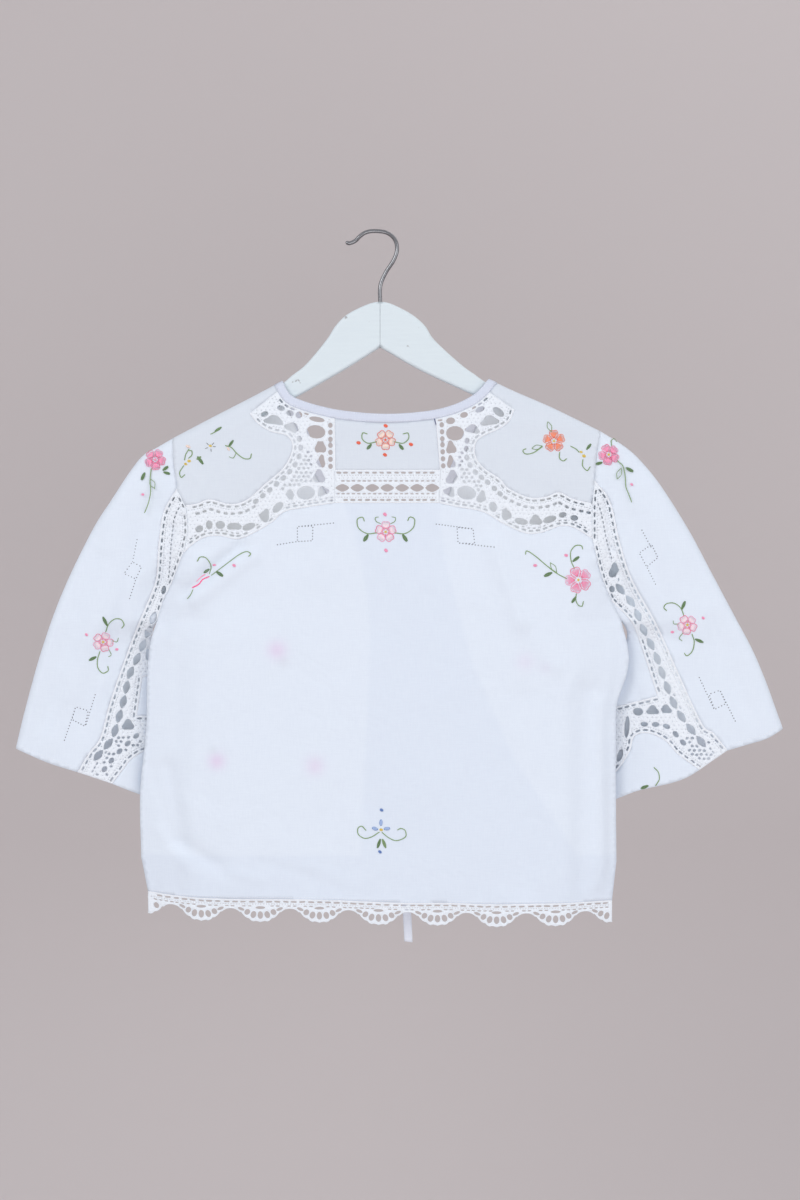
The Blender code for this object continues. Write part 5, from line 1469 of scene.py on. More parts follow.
# The edgings of the hem: first scallop's middle across, and their own sizes
hemLace = {
    "pitch": 59.0, "steps": 40,
    # Depth of the edging from the middle of a scallop (0) to between two (0.5)
    "profile": ((0, 21.6), (0.1, 21.3), (0.17, 20.1), (0.22, 18.2), (0.28, 15.2), (0.33, 12.8),
                (0.38, 10.8), (0.42, 9.5), (0.46, 9.0), (0.5, 8.8)),
    # Holes of a scallop: across and down from its middle, wide, high, tilt
    "holes": (
        (0, 7.9, 10.0, 2.8, 0), (0, 15.4, 5.6, 7.8, 0), (-6.9, 14.9, 5.6, 7.4, 20),
        (6.9, 14.9, 5.6, 7.4, -20), (-13.1, 12.3, 5.4, 6.4, 42), (13.1, 12.3, 5.4, 6.4, -42),
        (-19.2, 9.3, 7.0, 3.0, 22), (19.2, 9.3, 7.0, 3.0, -22)),
    "short": 8.0,  # how far from the side seam the fronts' edging ends
    "picot": 1.5,  # how far the small bumps of the edge stand out
    "pieces": (
        ("back_hem_lace", "back", ("hem_back",), -173.5),
        ("left_front_hem_lace", "front", ("hem_front_left", "band_low_left"), -174),
        ("right_front_hem_lace", "front", ("-band_low_right", "hem_front_right"), 223),
    ),
}


def hemDeep(share):
    # How deep the edging is at a share of the pitch from the middle of a scallop
    shares, deeps = zip(*hemLace["profile"])
    return float(np.interp(share, shares, deeps))


def hemOutline(top, first):
    left, right = top[0, 0], top[-1, 0]

    def level(across):
        return float(np.interp(across, top[:, 0], top[:, 1]))

    pitch = hemLace["pitch"]
    low, large = [], []
    begin = math.ceil((left - first) / pitch - 0.5)
    end = math.floor((right - first) / pitch + 0.5)
    for number in range(begin, end + 1):
        middle = first + number * pitch
        for step in range(hemLace["steps"]):
            turn = math.pi * step / hemLace["steps"]
            across = middle - pitch / 2 * math.cos(turn)
            if left + 1.5 < across < right - 1.5:
                share = abs(across - middle) / pitch
                bump = hemLace["picot"] * (abs(math.cos(math.pi * (across - middle) / 7.6)) - 0.5)
                bump *= share < 0.37
                low.append((across, level(across) + hemDeep(share) + bump))
        for across, down, wide, high, tilt in hemLace["holes"]:
            large.append((middle + across, level(middle + across) + down, wide, high, tilt, 1))
    ends = []
    for across in (left, right):
        share = abs((across - first) / pitch - round((across - first) / pitch))
        ends.append((across, level(across) + hemDeep(share)))
    low = np.array([ends[0], *low, ends[1]])
    return np.vstack([top, low[::-1]]), large, low


def makeHemLace(name, face, names, first):
    dice = random.Random(lacework["seed"])
    top = openRun(fineEdges, names)
    if face == "front":
        # The front's edging ends short of the side seam
        middle = top[:, 0].mean()
        top = top[abs(top[:, 0] - np.sign(middle) * abs(top[:, 0]).max()) > hemLace["short"]]
    loop, large, low = hemOutline(top, first)
    loop, area = turnRight(loop)
    kept = []
    addClear(kept, large, loop, 0.55)
    holes = list(kept)
    for inset, long, wide, pitch, lobes in ((2.1, 6.2, 1.7, 8.44, 0), (4.4, 0.85, 0.85, 2.7, 1),
                                            (6.3, 3.8, 1.2, 5.6, 0)):
        addClear(holes, rowHoles(top, loop, inset, long, wide, pitch, lobes, dice), loop, 0.6)
    panel = {"name": name, "face": face, "form": "body"}
    thing = finishLace(panel, loop, area, holes)
    lines = YarnLines("yarn_" + name, face, "body")
    line = softCurve(top, 2.2)
    for inset, thick in ((0.6, 0.5), (3.2, 0.32), (5.3, 0.32)):
        turn = -1 if names[0].startswith("-") or top[0, 0] < top[-1, 0] else 1
        lines.add(beside(line, turn * inset), thick, yarnSizes["lift"])
    lines.add(beside(low, 0.55), yarnSizes["scallopRim"], 0.1)
    for across, down, wide, high, tilt, lobes in kept:
        ring = holeRing(across, down, wide + 0.8, high + 0.8, tilt, lobes)
        lines.add(ring, 0.4, yarnSizes["lift"], True)
    lines.make(materials["crochetThread"], "lace")
    return thing


def finishLace(panel, loop, area, holes):
    inside = fillPoints(loop, holes, cloth["laceStep"], False)
    thing = makeShell("visual_" + panel["name"], loop, holes, inside, panel["face"], panel["form"],
                      cloth["laceThick"], lacework["crown"], materials["crochetCotton"], None)
    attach(thing, "root")
    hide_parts(panel["name"])
    stateCut(loop, area)
    return thing


def makeLace():
    for name, panel in panels.items():
        if panel["kind"] == "lace":
            loop, area = outerLoop(panel["edges"])
            large, holes = laceHoles(name, loop)
            finishLace(panel, loop, area, holes)
            laceYarns(name, panel, loop, large, holes)
    for row in hemLace["pieces"]:
        makeHemLace(*row)


makeLace()
print("stage: crochet")


# The hanger: two half boards of painted wood that meet in the middle, and a wire hook

hanger = {
    "deep": 12.0,
    "round": 3.0,  # round of the outer edges
    "jointRound": 0.2,  # round of the edges where the halves meet
    "joint": 0.06,  # half of the fine gap between them
    "wire": 2.05,
    "wireSides": 20,
    "topLeft": ((5, 69.5), (-3, 70.5), (-15.4, 75.4), (-29.2, 83), (-40, 94), (-49, 108),
                (-69, 132), (-84, 144), (-95, 153), (-129, 173), (-164, 191), (-193, 206),
                (-207, 215)),
    "lowLeft": ((-214, 224), (-207, 230), (-185, 222), (-135, 196), (-80, 165.5), (-30, 137),
                (5, 115)),
    "topRight": ((5, 69.5), (13, 70.5), (24.5, 75.4), (38, 83), (50.4, 94), (59.6, 108),
                 (85.6, 132), (100, 142.5), (112, 150.8), (141, 165), (178, 181), (205, 193),
                 (217, 200)),
    "lowRight": ((224, 209), (217, 215.5), (197, 208), (145, 185), (98, 162.7), (45, 138),
                 (5, 115)),
    "hook": ((5, 83.5), (5, 69), (5.3, 53), (10.6, 40), (18.3, 28), (22, 17), (19.8, 6.6),
             (12, 0), (0, -1.9), (-9.3, -0.5), (-15.4, 3.5), (-20, 8), (-26, 10.4),
             (-29.5, 9)),
    "paint": (tone(222, 233, 238), tone(215, 226, 232)),
    "scuff": tone(168, 170, 172),
    "chrome": (tone(150, 151, 154), tone(122, 122, 126)),
}


def makePaintedWood():
    material, tree, shader = startMaterial("paintedWood", {
        "Roughness": 0.42, "Specular IOR Level": 0.35})
    spot = addNode(tree, "ShaderNodeTexCoord", (-1300, 0)).outputs["Object"]
    stretch = addNode(tree, "ShaderNodeMapping", (-1100, 0), {
        "Vector": spot, "Rotation": (0, math.radians(28), 0), "Scale": (0.12, 1.0, 1.0)})
    brush = addNode(tree, "ShaderNodeTexNoise", (-880, 120), {
        "Vector": stretch.outputs["Vector"], "Scale": 420.0, "Detail": 3.0}).outputs["Fac"]
    marks = addNode(tree, "ShaderNodeTexNoise", (-880, -160), {
        "Vector": spot, "Scale": 95.0, "Detail": 5.0}).outputs["Fac"]
    worn = addRange(tree, (-660, -160), marks, {"From Min": 0.685, "From Max": 0.73})
    coat = addMix(tree, (-440, 160), brush, *hanger["paint"])
    rubbed = addMix(tree, (-220, 160), worn, coat, hanger["scuff"])
    bump = addBump(tree, (-220, -160), brush, 0.35, 0.00025)
    feed(tree, shader, {"Base Color": rubbed, "Normal": bump})
    return material


def makeChrome():
    material, tree, shader = startMaterial("polishedChrome", {"Metallic": 1.0})
    spot = addNode(tree, "ShaderNodeTexCoord", (-900, 0)).outputs["Object"]
    haze = addNode(tree, "ShaderNodeTexNoise", (-700, 0), {
        "Vector": spot, "Scale": 300.0}).outputs["Fac"]
    rough = addRange(tree, (-450, -60), haze, {"To Min": 0.12, "To Max": 0.26})
    shade = addMix(tree, (-450, 200), haze, *hanger["chrome"])
    feed(tree, shader, {"Base Color": shade, "Roughness": rough})
    return material


materials["paintedWood"] = makePaintedWood()
materials["polishedChrome"] = makeChrome()


def makeHalfBoard(side):
    toward = -1 if side == "Left" else 1
    top = softCurve(hanger["top" + side], 5.0)
    low = softCurve(hanger["low" + side], 5.0)[:-1]
    centre = top[0, 0] + toward * hanger["joint"]
    bottom = np.array(hanger["low" + side][-1], float)
    top[0, 0] = bottom[0] = centre
    loop = np.vstack([top, low, [bottom]])
    count = len(loop)
    half = hanger["deep"] / 2
    verts = np.vstack([toFrame(loop, np.full(count, -half)), toFrame(loop, np.full(count, half))])
    faces = [list(range(count)), list(range(2 * count - 1, count - 1, -1))]
    faces += [[i, (i - 1) % count, (i - 1) % count + count, i + count] for i in range(count)]
    thing, mesh = makeThing("halfBoard" + side, verts.tolist(), [], faces)
    if side == "Right":
        mesh.flip_normals()
    turnOutward(mesh)
    weights = mesh.attributes.new("bevel_weight_edge", "FLOAT", "EDGE")
    for edge in mesh.edges:
        one, two = (vertex % count for vertex in edge.vertices)
        ends = {one, two}
        if ends == {0, count - 1}:
            weights.data[edge.index].value = hanger["jointRound"] / hanger["round"]
        elif one != two:
            weights.data[edge.index].value = 1.0
    bevel = thing.modifiers.new("rounded", "BEVEL")
    bevel.limit_method = "WEIGHT"
    bevel.width = hanger["round"] * mm
    bevel.segments = 4
    mesh.shade_smooth()
    even = thing.modifiers.new("even", "WEIGHTED_NORMAL")
    even.mode = "FACE_AREA"
    even.weight = 90
    bakeModifiers(thing)
    thing.data.materials.clear()
    thing.data.materials.append(materials["paintedWood"])
    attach(thing, "root")
    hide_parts("hanger_body")
    return thing


def makeHook():
    line = softCurve(hanger["hook"], 0.9)
    thick = np.full(len(line), hanger["wire"] * mm)
    for back, share in ((1, 0.4), (2, 0.8), (3, 0.97)):
        thick[-back] *= share
    thing, mesh = makeThing("hookWire", toFrame(line, np.zeros(len(line))).tolist(),
                            [(i, i + 1) for i in range(len(line) - 1)], [])
    setPoints(mesh, "thick", "FLOAT", "value", thick)
    bakeTree(thing, yarnTree, {"Sides": hanger["wireSides"], "Yarn Size": 1.0,
                               "Material": materials["polishedChrome"]})
    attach(thing, "root")
    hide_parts("hanger_hook")


# The ties: flat folded tapes sewn under the front binding, which hang freely

ties = {
    "wide": 8.5,
    "thick": 1.0,
    "slant": 1.6,  # how much lower one corner of the cut end is
    "bow": 0.35,  # how far the middle of the tape stands out
    "routes": {
        "left_tie": ((-9.5, 372), (-6, 409), (2, 479), (14, 559), (26, 634), (31.5, 679),
                     (33.5, 715)),
        "right_tie": ((69.5, 277), (68, 314), (59, 379), (51, 459), (46.5, 534), (45, 615)),
    },
}


def makeTie(name, points):
    top = shape.body(np.array(points[:1], float), frontFolds)[0]
    out = top + cloth["bandThick"] / 2 + 0.4 + ties["thick"] / 2
    line = softCurve(points, 3.0)
    count = len(line)
    depth = np.full(count, out)
    half, thick = ties["wide"] / 2, ties["thick"] / 2
    ring = ((half, -0.3), (half, 0.3), (half * 0.5, 1), (0, 1), (-half * 0.5, 1), (-half, 0.3),
            (-half, -0.3), (-half * 0.5, -1), (0, -1), (half * 0.5, -1))
    verts = []
    for across, face in ring:
        side = beside(line, across)
        slant = ties["slant"] * across / ties["wide"]
        side[-1, 1] += slant
        bow = ties["bow"] * (1 - (across / half) ** 2)
        verts.append(toFrame(side, depth + bow + face * thick))
    sides = len(ring)
    faces = [[edge * count for edge in range(sides)],
             [edge * count + count - 1 for edge in range(sides)][::-1]]
    for edge in range(sides):
        here, there = edge * count, (edge + 1) % sides * count
        faces += [[here + i, here + i + 1, there + i + 1, there + i] for i in range(count - 1)]
    thing, mesh = makeThing("visual_" + name, np.vstack(verts).tolist(), [], faces)
    cut = np.vstack([np.column_stack([np.full(count, across), runLengths(line)])
                     for across, face in ring])
    setFacts(mesh, cut, None)
    turnOutward(mesh)
    mesh.shade_smooth()
    mesh.materials.append(materials["tieTapePaintedLight"])
    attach(thing, "root")
    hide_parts(name)
    float(runLengths(line)[-1] * mm)


for half in ("Left", "Right"):
    makeHalfBoard(half)
makeHook()
for name, points in ties["routes"].items():
    makeTie(name, points)
print("stage: hanger, hook and ties")


# Stitches: a tree that sets one small rounded stitch on each point

def makeStitchTree():
    tree, given = startTree("sewStitches", "GeometryNodeTree", {
        "Geometry": ("Geometry", None), "Sides": ("Int", 6), "Material": ("Material", None)},
        {"Geometry": ("Geometry", None)})
    along, out, size = (
        addNode(tree, "GeometryNodeInputNamedAttribute", (-800, -200 - 160 * number),
                {"Name": label}, data_type="FLOAT_VECTOR").outputs["Attribute"]
        for number, label in enumerate(("along", "out", "size")))
    upright = addNode(tree, "FunctionNodeAlignRotationToVector", (-600, -260), {"Vector": out},
                      axis="Z")
    turned = addNode(tree, "FunctionNodeAlignRotationToVector", (-400, -260), {
        "Rotation": upright.outputs["Rotation"], "Vector": along}, axis="X", pivot_axis="Z")
    ball = addNode(tree, "GeometryNodeMeshUVSphere", (-400, 200), {
        "Segments": given["Sides"], "Rings": 4, "Radius": 0.5})
    spread = addNode(tree, "GeometryNodeInstanceOnPoints", (-100, 0), {
        "Points": given["Geometry"], "Instance": ball.outputs["Mesh"],
        "Rotation": turned.outputs["Rotation"], "Scale": size})
    finishTree(tree, spread.outputs["Instances"], given["Material"])
    return tree


stitchTree = makeStitchTree()

dyes = {
    # The dye called shade is painted shade: dark stitches that stand for the dark inside seen
    # through small pulled holes
    "white": tone(246, 249, 255), "shade": tone(110, 113, 122), "leafGreen": tone(138, 166, 116),
    "deepGreen": tone(112, 142, 98), "hotPink": tone(255, 108, 156), "rose": tone(255, 164, 198),
    "palePink": tone(255, 234, 243), "coral": tone(250, 116, 88),
    "lightCoral": tone(255, 154, 124), "peach": tone(255, 232, 220), "yellow": tone(236, 206, 96),
    "skyBlue": tone(172, 196, 236), "deepBlue": tone(108, 140, 200), "navy": tone(56, 66, 120),
    "greyGreen": tone(120, 126, 122),
}

sewing = {
    "stemLong": 2.7,  # a stem stitch, how wide it is and how far on the next begins
    "stemWide": 1.15,
    "stemStep": 1.5,
    "stemLean": 0.16,  # how far each leans across the line
    "satin": 0.62,  # distance between satin stitches
    "high": 0.7,
    "lift": 0.62,
    "topLong": 1.9,  # machine stitches along a seam
    "topStep": 2.6,
    "whipLong": 2.3,  # whipped stitches over the borders of lace
    "whipStep": 1.5,
    "seed": 11,
}
dice = random.Random(sewing["seed"])


def at(start, way, ahead, aside):
    # A place ahead of another along a way, and aside to its left
    return (start[0] + way[0] * ahead - way[1] * aside, start[1] + way[1] * ahead + way[0] * aside)


def wayTo(start, end):
    way = (end[0] - start[0], end[1] - start[1])
    long = math.hypot(*way) or 1.0
    return (way[0] / long, way[1] / long), long


class Stitches:
    # Collects stitches on one side of the cloth, then makes one piece of them

    def __init__(self, name, face, kind, lift=None):
        self.name, self.face, self.kind = name, face, kind
        self.lift = sewing["lift"] if lift is None else lift
        self.rows = []

    def sew(self, place, way, long, wide, dye, high=None):
        way = wayTo((0, 0), way)[0]
        self.rows.append((*place, *way, long, wide, high or min(wide, sewing["high"]),
                          *dyes[dye]))

    def line(self, points, dye="leafGreen", wide=None, long=None, step=None):
        # Stem stitches along a curve, each a little across the line
        wide, long = wide or sewing["stemWide"], long or sewing["stemLong"]
        for here, way in walk(softCurve(points, 0.5), 0.4, step or sewing["stemStep"], 0.8):
            self.sew(here, at((0, 0), way, 1, sewing["stemLean"]),
                     long * dice.uniform(0.9, 1.08), wide * dice.uniform(0.9, 1.1), dye)

    def satin(self, centre, turn, long, wide, dye, edge=None):
        # A filled oval: satin stitches side by side across its long way
        way = (math.cos(turn), math.sin(turn))
        count = max(3, int(long / sewing["satin"]))
        for number in range(count):
            share = (number + 0.5) / count * 2 - 1
            reach = wide * math.sqrt(max(0.05, 1 - share ** 2))
            self.sew(at(centre, way, share * long / 2, 0), at((0, 0), way, 0.25, 1), reach,
                     sewing["satin"] * 1.35, edge if edge and abs(share) > 0.7 else dye)

    def leaf(self, tip, root, wide, dye="deepGreen"):
        # A leaf from its root to its tip, in two rows of slanted stitches
        way, long = wayTo(root, tip)
        for number in range(int(long / 0.75)):
            share = (number + 0.5) * 0.75 / long
            reach = wide * 0.38 * math.sin(math.pi * min(1.0, share * 0.9 + 0.08)) + 0.25
            for side in (-1, 1):
                self.sew(at(root, way, share * long, side * reach / 2),
                         at((0, 0), way, 0.8, side), reach * 1.25 + 0.4, 0.85, dye)

    def loopLeaf(self, tip, root, wide, dye="leafGreen"):
        # The outline of a leaf
        way, long = wayTo(root, tip)
        for side in (-1, 1):
            self.line((root, at(root, way, long / 2, side * wide / 2), tip), dye, 0.75, 2.0, 1.3)

    def dot(self, centre, size, dye="rose"):
        self.satin(centre, dice.uniform(-0.5, 0.5), size * 1.12, size * 1.25, dye)

    def flower(self, centre, size, outline, fill, heart, turn=0.0):
        rimTwo = {"hotPink": "rose", "coral": "lightCoral"}.get(outline, outline)
        wide = size * 3.7 / 5
        for petal in range(5):
            angle = turn + 2 * math.pi * petal / 5
            way = (math.cos(angle), math.sin(angle))
            # Long and short stitches from the heart outward, then the petal's edge
            for number in range(7):
                share = (number - 3) / 3.0
                self.sew(at(centre, way, size * 0.56, share * wide * 0.3),
                         at((0, 0), way, 1, 0.42 * share), size * (0.72 - 0.3 * share ** 2),
                         1.0, fill, 0.4)
            for share in (-1, 0, 1):
                self.sew(at(centre, way, size * 0.34, share * wide * 0.12),
                         at((0, 0), way, 1, 0.3 * share), size * 0.24, 0.55, outline)
            rim = []
            for number in range(13):
                bend = math.radians(-156 + 26 * number)
                notch = 0.13 * max(0.0, math.cos(bend)) ** 6
                rim.append(at(centre, way, size * (0.56 + (0.44 - notch) * math.cos(bend)),
                              wide * 0.47 * math.sin(bend) * (1 + 0.12 * math.cos(bend))))
            self.line(rim, outline if petal in (0, 1, 3) else rimTwo, 0.62, 2.0, 1.3)
        for number in range(5):
            angle = 2 * math.pi * number / 5
            way = (math.cos(angle), math.sin(angle))
            self.sew(at(centre, way, 0.75, 0), way, 1.5, 1.2, heart, 1.0)

    def seam(self, points, inset=0.0):
        # Machine stitches beside a seam
        for here, way in walk(beside(softCurve(points, 1.0), inset), 1.5, sewing["topStep"], 1):
            self.sew(here, way, sewing["topLong"], 0.42, "white", 0.3)

    def border(self, points):
        # Small whipped stitches over the border of two panels
        for here, way in walk(softCurve(points, 1.0), 1.0, sewing["whipStep"], 1, 0.6):
            self.sew(here, at((0, 0), way, 1, 0.45), sewing["whipLong"], 1.3, "white", 0.6)

    def make(self):
        if not self.rows:
            return
        rows = np.array(self.rows)
        flat = rows[:, :2]
        spots, out = shape.lay(flat, self.face, self.kind, self.lift)
        ahead, unused = shape.lay(flat + 0.6 * rows[:, 2:4], self.face, self.kind, self.lift)
        thing, mesh = makeThing(self.name, spots.tolist(), [], [])
        for label, values in (("along", ahead - spots), ("out", out), ("size", rows[:, 4:7] * mm)):
            setPoints(mesh, label, "FLOAT_VECTOR", "vector", values)
        setPoints(mesh, "dye", "FLOAT_COLOR", "color", rows[:, 7:11])
        bakeTree(thing, stitchTree, {"Sides": 6, "Material": materials["embroideryThread"]})
        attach(thing, "root")


# Motifs, as (what, places and sizes, dye)

backMotifs = (
    # patch
    ("flower", (10.5, 209), 11.0, "coral", "peach", "coral", 0.3),
    ("dot", (10.7, 195), 3.6, "coral"), ("dot", (-16.4, 212), 3.6, "coral"),
    ("dot", (36, 213.6), 3.6, "coral"), ("dot", (10, 224), 3.6, "coral"),
    ("line", ((1.5, 211), (-7, 212.4), (-12.7, 208), (-12.2, 202.2), (-7.8, 203))),
    ("line", ((19.5, 211), (28, 212.4), (33.4, 208), (33, 202.4), (28.6, 203))),
    ("leaf", (-8, 218.5), (-3.5, 213.4), 3.6), ("leaf", (28.5, 219), (24, 213.6), 3.6),
    # yoke
    ("flower", (10.7, 301), 11.4, "hotPink", "palePink", "yellow", -0.3),
    ("dot", (10, 283.5), 3.4), ("dot", (11, 319.5), 3.4),
    ("line", ((1.5, 302), (-8, 302.6), (-16.4, 297), (-17.6, 288.6), (-12.6, 286.4),
        (-10.6, 290))),
    ("line", ((20, 302), (30, 302.6), (38, 297), (39.6, 288.6), (35, 286.2), (32.6, 290))),
    ("line", ((5.4, 292.6), (1.4, 290.6), (0.4, 287), (3.6, 286)), "leafGreen", 0.8),
    ("line", ((16, 292.6), (19.6, 290.6), (20.4, 287), (17, 286)), "leafGreen", 0.8),
    ("leaf", (-11.4, 310.6), (-6.8, 303.6), 4.4), ("leaf", (32.4, 311), (27.6, 303.6), 4.4),
    # bottom
    ("satin", (0, 597.4), 0.2, 6.0, 4.6, "skyBlue", "deepBlue"),
    ("satin", (6, 591.4), 1.5, 6.0, 4.6, "skyBlue", "deepBlue"),
    ("satin", (12, 597.4), -0.2, 6.0, 4.6, "skyBlue", "deepBlue"),
    ("dot", (6.2, 598.5), 3.0, "yellow"),
    ("line", ((4, 601), (-3.4, 605.6), (-10.6, 607), (-16.6, 603), (-17, 597.2), (-13.2, 595),
        (-9.2, 598.8)), "leafGreen", 1.1),
    ("line", ((7.3, 601.3), (14, 606.6), (21.7, 609.3), (30.4, 605.6), (30.2, 599.4), (26, 597.2),
        (22.4, 598.8)), "leafGreen", 1.1),
    ("leaf", (2.4, 617), (5.4, 607.6), 3.4), ("leaf", (11, 617), (7.4, 607.6), 3.4, "leafGreen"),
    ("dot", (6.6, 578.8), 3.2, "deepBlue"), ("dot", (5, 620.6), 3.2, "deepBlue"),
    # right of the chest
    ("flower", (203.2, 349), 14.2, "hotPink", "rose", "yellow", 0.6), ("dot", (191, 324.4), 3.2),
    ("dot", (160, 334.5), 3.2),
    ("line", ((191, 347.5), (181, 342), (170, 333.4), (160, 325), (151.8, 320), (150.2, 324))),
    ("loopLeaf", (175, 331.6), (181.6, 341.6), 4.4), ("leaf", (168.6, 345.4), (177, 341.6), 4.2),
    ("line", ((199, 337), (196, 330), (195.5, 321), (200, 315), (206, 314.8), (207.6, 318.6))),
    ("leaf", (204.4, 325.4), (197.4, 330.6), 3.4),
    ("line", ((201, 363), (200.6, 369), (203, 374), (206.8, 375), (208, 371))),
    ("leaf", (196.4, 372), (200.8, 365.6), 3.0),
    # left of the chest, half in a fold
    ("line", ((-166, 346), (-172, 348.6), (-176, 353.4), (-182.6, 357)), "hotPink", 1.7, 3.0, 1.0),
    ("line", ((-168, 342.6), (-173.4, 345), (-178.4, 350)), "rose", 1.3),
    ("line", ((-165.3, 343), (-164.4, 334), (-168.6, 327.2), (-174.4, 326.4), (-177.2, 330.6))),
    ("leaf", (-171.6, 341.6), (-165.8, 337.8), 3.2),
    ("line", ((-163, 344.4), (-155, 338.4), (-145, 330.8), (-135, 323.6), (-128, 320.8),
        (-124, 323), (-126, 325.6))),
    ("leaf", (-151, 345.6), (-158.6, 340.8), 4.0), ("dot", (-161, 333.8), 3.0),
    ("dot", (-140.5, 334.6), 3.0), ("line", ((-182, 359.4), (-184, 364), (-187, 367.6))),
    # left shoulder
    ("flower", (-220.2, 228.4), 11.4, "hotPink", "rose", "rose", 0.2),
    ("line", ((-224, 238), (-225, 249), (-224.4, 261), (-226.6, 272), (-230, 281))),
    ("loopLeaf", (-220.4, 257.6), (-225, 247.6), 5.0),
    ("leaf", (-234, 249.6), (-230.4, 241.4), 3.8), ("dot", (-232.3, 263.5), 2.6),
    ("leaf", (-206.4, 235), (-212.4, 239.4), 3.4), ("leaf", (-204.4, 243), (-211.6, 241.2), 3.0),
    # left shoulder's field of flowers
    ("satin", (-164.7, 214.8), 0.0, 3.0, 3.0, "yellow"),
    ("line", ((-186.5, 218.4), (-189.4, 223.4), (-190.6, 229))),
    ("line", ((-186.2, 227), (-183.2, 224), (-183.4, 220), (-186.4, 219.4))),
    ("dot", (-186, 230), 3.0, "yellow"), ("dot", (-189.4, 233), 2.6, "yellow"),
    ("line", ((-191.6, 235), (-195.4, 241.4), (-193.8, 246.4), (-190.6, 244.2))),
    ("leaf", (-171.4, 233.8), (-177.6, 225.4), 3.4),
    ("leaf", (-178.6, 228.4), (-174, 225.6), 2.4, "leafGreen"),
    ("line", ((-164, 203), (-158.6, 200), (-154.4, 195.6))),
    ("leaf", (-153.4, 196), (-160.4, 200.6), 2.8),
    ("line", ((-149.4, 214.6), (-143.6, 216.6), (-138, 222.6), (-131, 227.6), (-125, 227.6),
        (-123.6, 223.6))),
    ("leaf", (-141.6, 209), (-146.4, 215.8), 3.0),
    ("line", ((-138.6, 222), (-141.6, 227), (-145.6, 226)), "leafGreen", 0.8),
    ("satin", (-187, 215.4), 0.4, 5.0, 3.4, "peach"),
    ("satin", (-146.6, 218), 0.9, 4.2, 2.8, "peach"),
    # right shoulder's field of flowers
    ("flower", (179, 210), 12.0, "coral", "lightCoral", "yellow", 0.9),
    ("loopLeaf", (172.6, 190.4), (176.4, 200.6), 4.4),
    ("loopLeaf", (156.4, 217.8), (167, 215), 4.4),
    ("line", ((167, 216), (158, 222), (150.4, 223), (147.9, 219.6), (151, 217.8))),
    ("line", ((184.6, 221.6), (184.4, 227), (188, 230), (191.4, 228))),
    ("dot", (209, 225), 3.2, "yellow"), ("dot", (206.2, 221), 2.4, "yellow"),
    ("line", ((196, 215.4), (201, 218), (204, 221))),
    ("line", ((207.8, 229), (207.6, 235), (212, 239.6), (215, 236))),
    ("leaf", (216.4, 212.6), (211.6, 218.6), 3.0),
    # right shoulder
    ("flower", (234, 223.5), 11.4, "hotPink", "rose", "yellow", 0.5),
    ("line", ((237, 214.4), (236.6, 209.4), (240, 207.4), (242, 210.4))),
    ("leaf", (220.4, 233.4), (227.4, 231.4), 3.4),
    ("line", ((243, 230), (248, 235), (250.2, 245), (251, 256), (254, 264), (256.4, 270.6))),
    ("loopLeaf", (242, 248.6), (246.4, 237), 4.6), ("leaf", (259, 240.8), (251.2, 236.6), 3.8),
    ("dot", (256.8, 253.4), 2.6),
    # tag thread in the binding
    ("line", ((58.6, 185.6), (59.8, 190), (61, 193.6)), "navy", 0.8),
)

leftMotifs = (
    ("flower", (-273, 411), 10.6, "hotPink", "palePink", "yellow", 0.1),
    ("dot", (-288.7, 403.7), 2.8), ("dot", (-260, 418.6), 2.8),
    ("line", ((-270, 400.4), (-267, 393), (-261, 388), (-254.6, 388.6), (-252, 393.4),
        (-254, 396.6))),
    ("leaf", (-272.4, 385.6), (-268.4, 394.6), 3.6),
    ("line", ((-276.4, 421), (-278.6, 429), (-278.2, 437), (-273.4, 442.4), (-268.4, 440),
        (-268.6, 436))),
    ("leaf", (-287, 429.6), (-279.6, 425.8), 3.6),
    ("line", ((-264, 410), (-260, 411), (-258.4, 407.6)), "leafGreen", 0.8),
    ("line", ((-267.6, 419), (-265.6, 424), (-268.6, 426.4)), "leafGreen", 0.8),
)
rightMotifs = (
    ("flower", (312.7, 393.8), 10.6, "hotPink", "palePink", "yellow", 0.4),
    ("dot", (328.4, 387), 2.8), ("dot", (298.3, 401), 2.8),
    ("line", ((309, 384), (306, 377), (299.6, 372.2), (292.4, 372.6), (289.3, 376.4),
        (291.8, 379.4))),
    ("leaf", (310.6, 369.8), (307, 378.4), 3.6),
    ("line", ((317.6, 403.4), (319.8, 411), (318, 420), (313, 424.8), (310, 422.4))),
    ("leaf", (329, 411.6), (320.6, 408), 3.6),
    ("line", ((303.4, 393), (299.4, 392.6), (298.6, 389)), "leafGreen", 0.8),
    ("line", ((308.4, 402), (305.2, 407), (307.6, 409.6)), "leafGreen", 0.8),
    ("line", ((280.6, 537.6), (284.6, 542), (285.6, 549), (282.4, 555))),
    ("leaf", (267.4, 559), (275, 555.6), 3.8),
)
frontMotifs = (
    ("flower", (-98, 419), 12.0, "hotPink", "palePink", "yellow", 0.0),
    ("leaf", (-81, 437), (-89, 428), 4.4),
    ("line", ((-107, 412), (-116, 409), (-121, 401), (-117, 395))),
    ("flower", (-158, 530), 11.0, "hotPink", "rose", "yellow", 0.4),
    ("line", ((-166, 522), (-172, 514), (-169, 507))),
    ("flower", (-60, 535), 11.0, "coral", "peach", "yellow", 0.2),
    ("line", ((-50, 541), (-42, 547), (-39, 556))), ("leaf", (-71, 547), (-66, 541), 4.0),
    ("flower", (150, 431), 11.0, "hotPink", "palePink", "yellow", 0.7),
    ("flower", (170, 437), 7.0, "rose", "palePink", "yellow", 0.2),
    ("line", ((141, 437), (132, 443), (128, 452))),
)
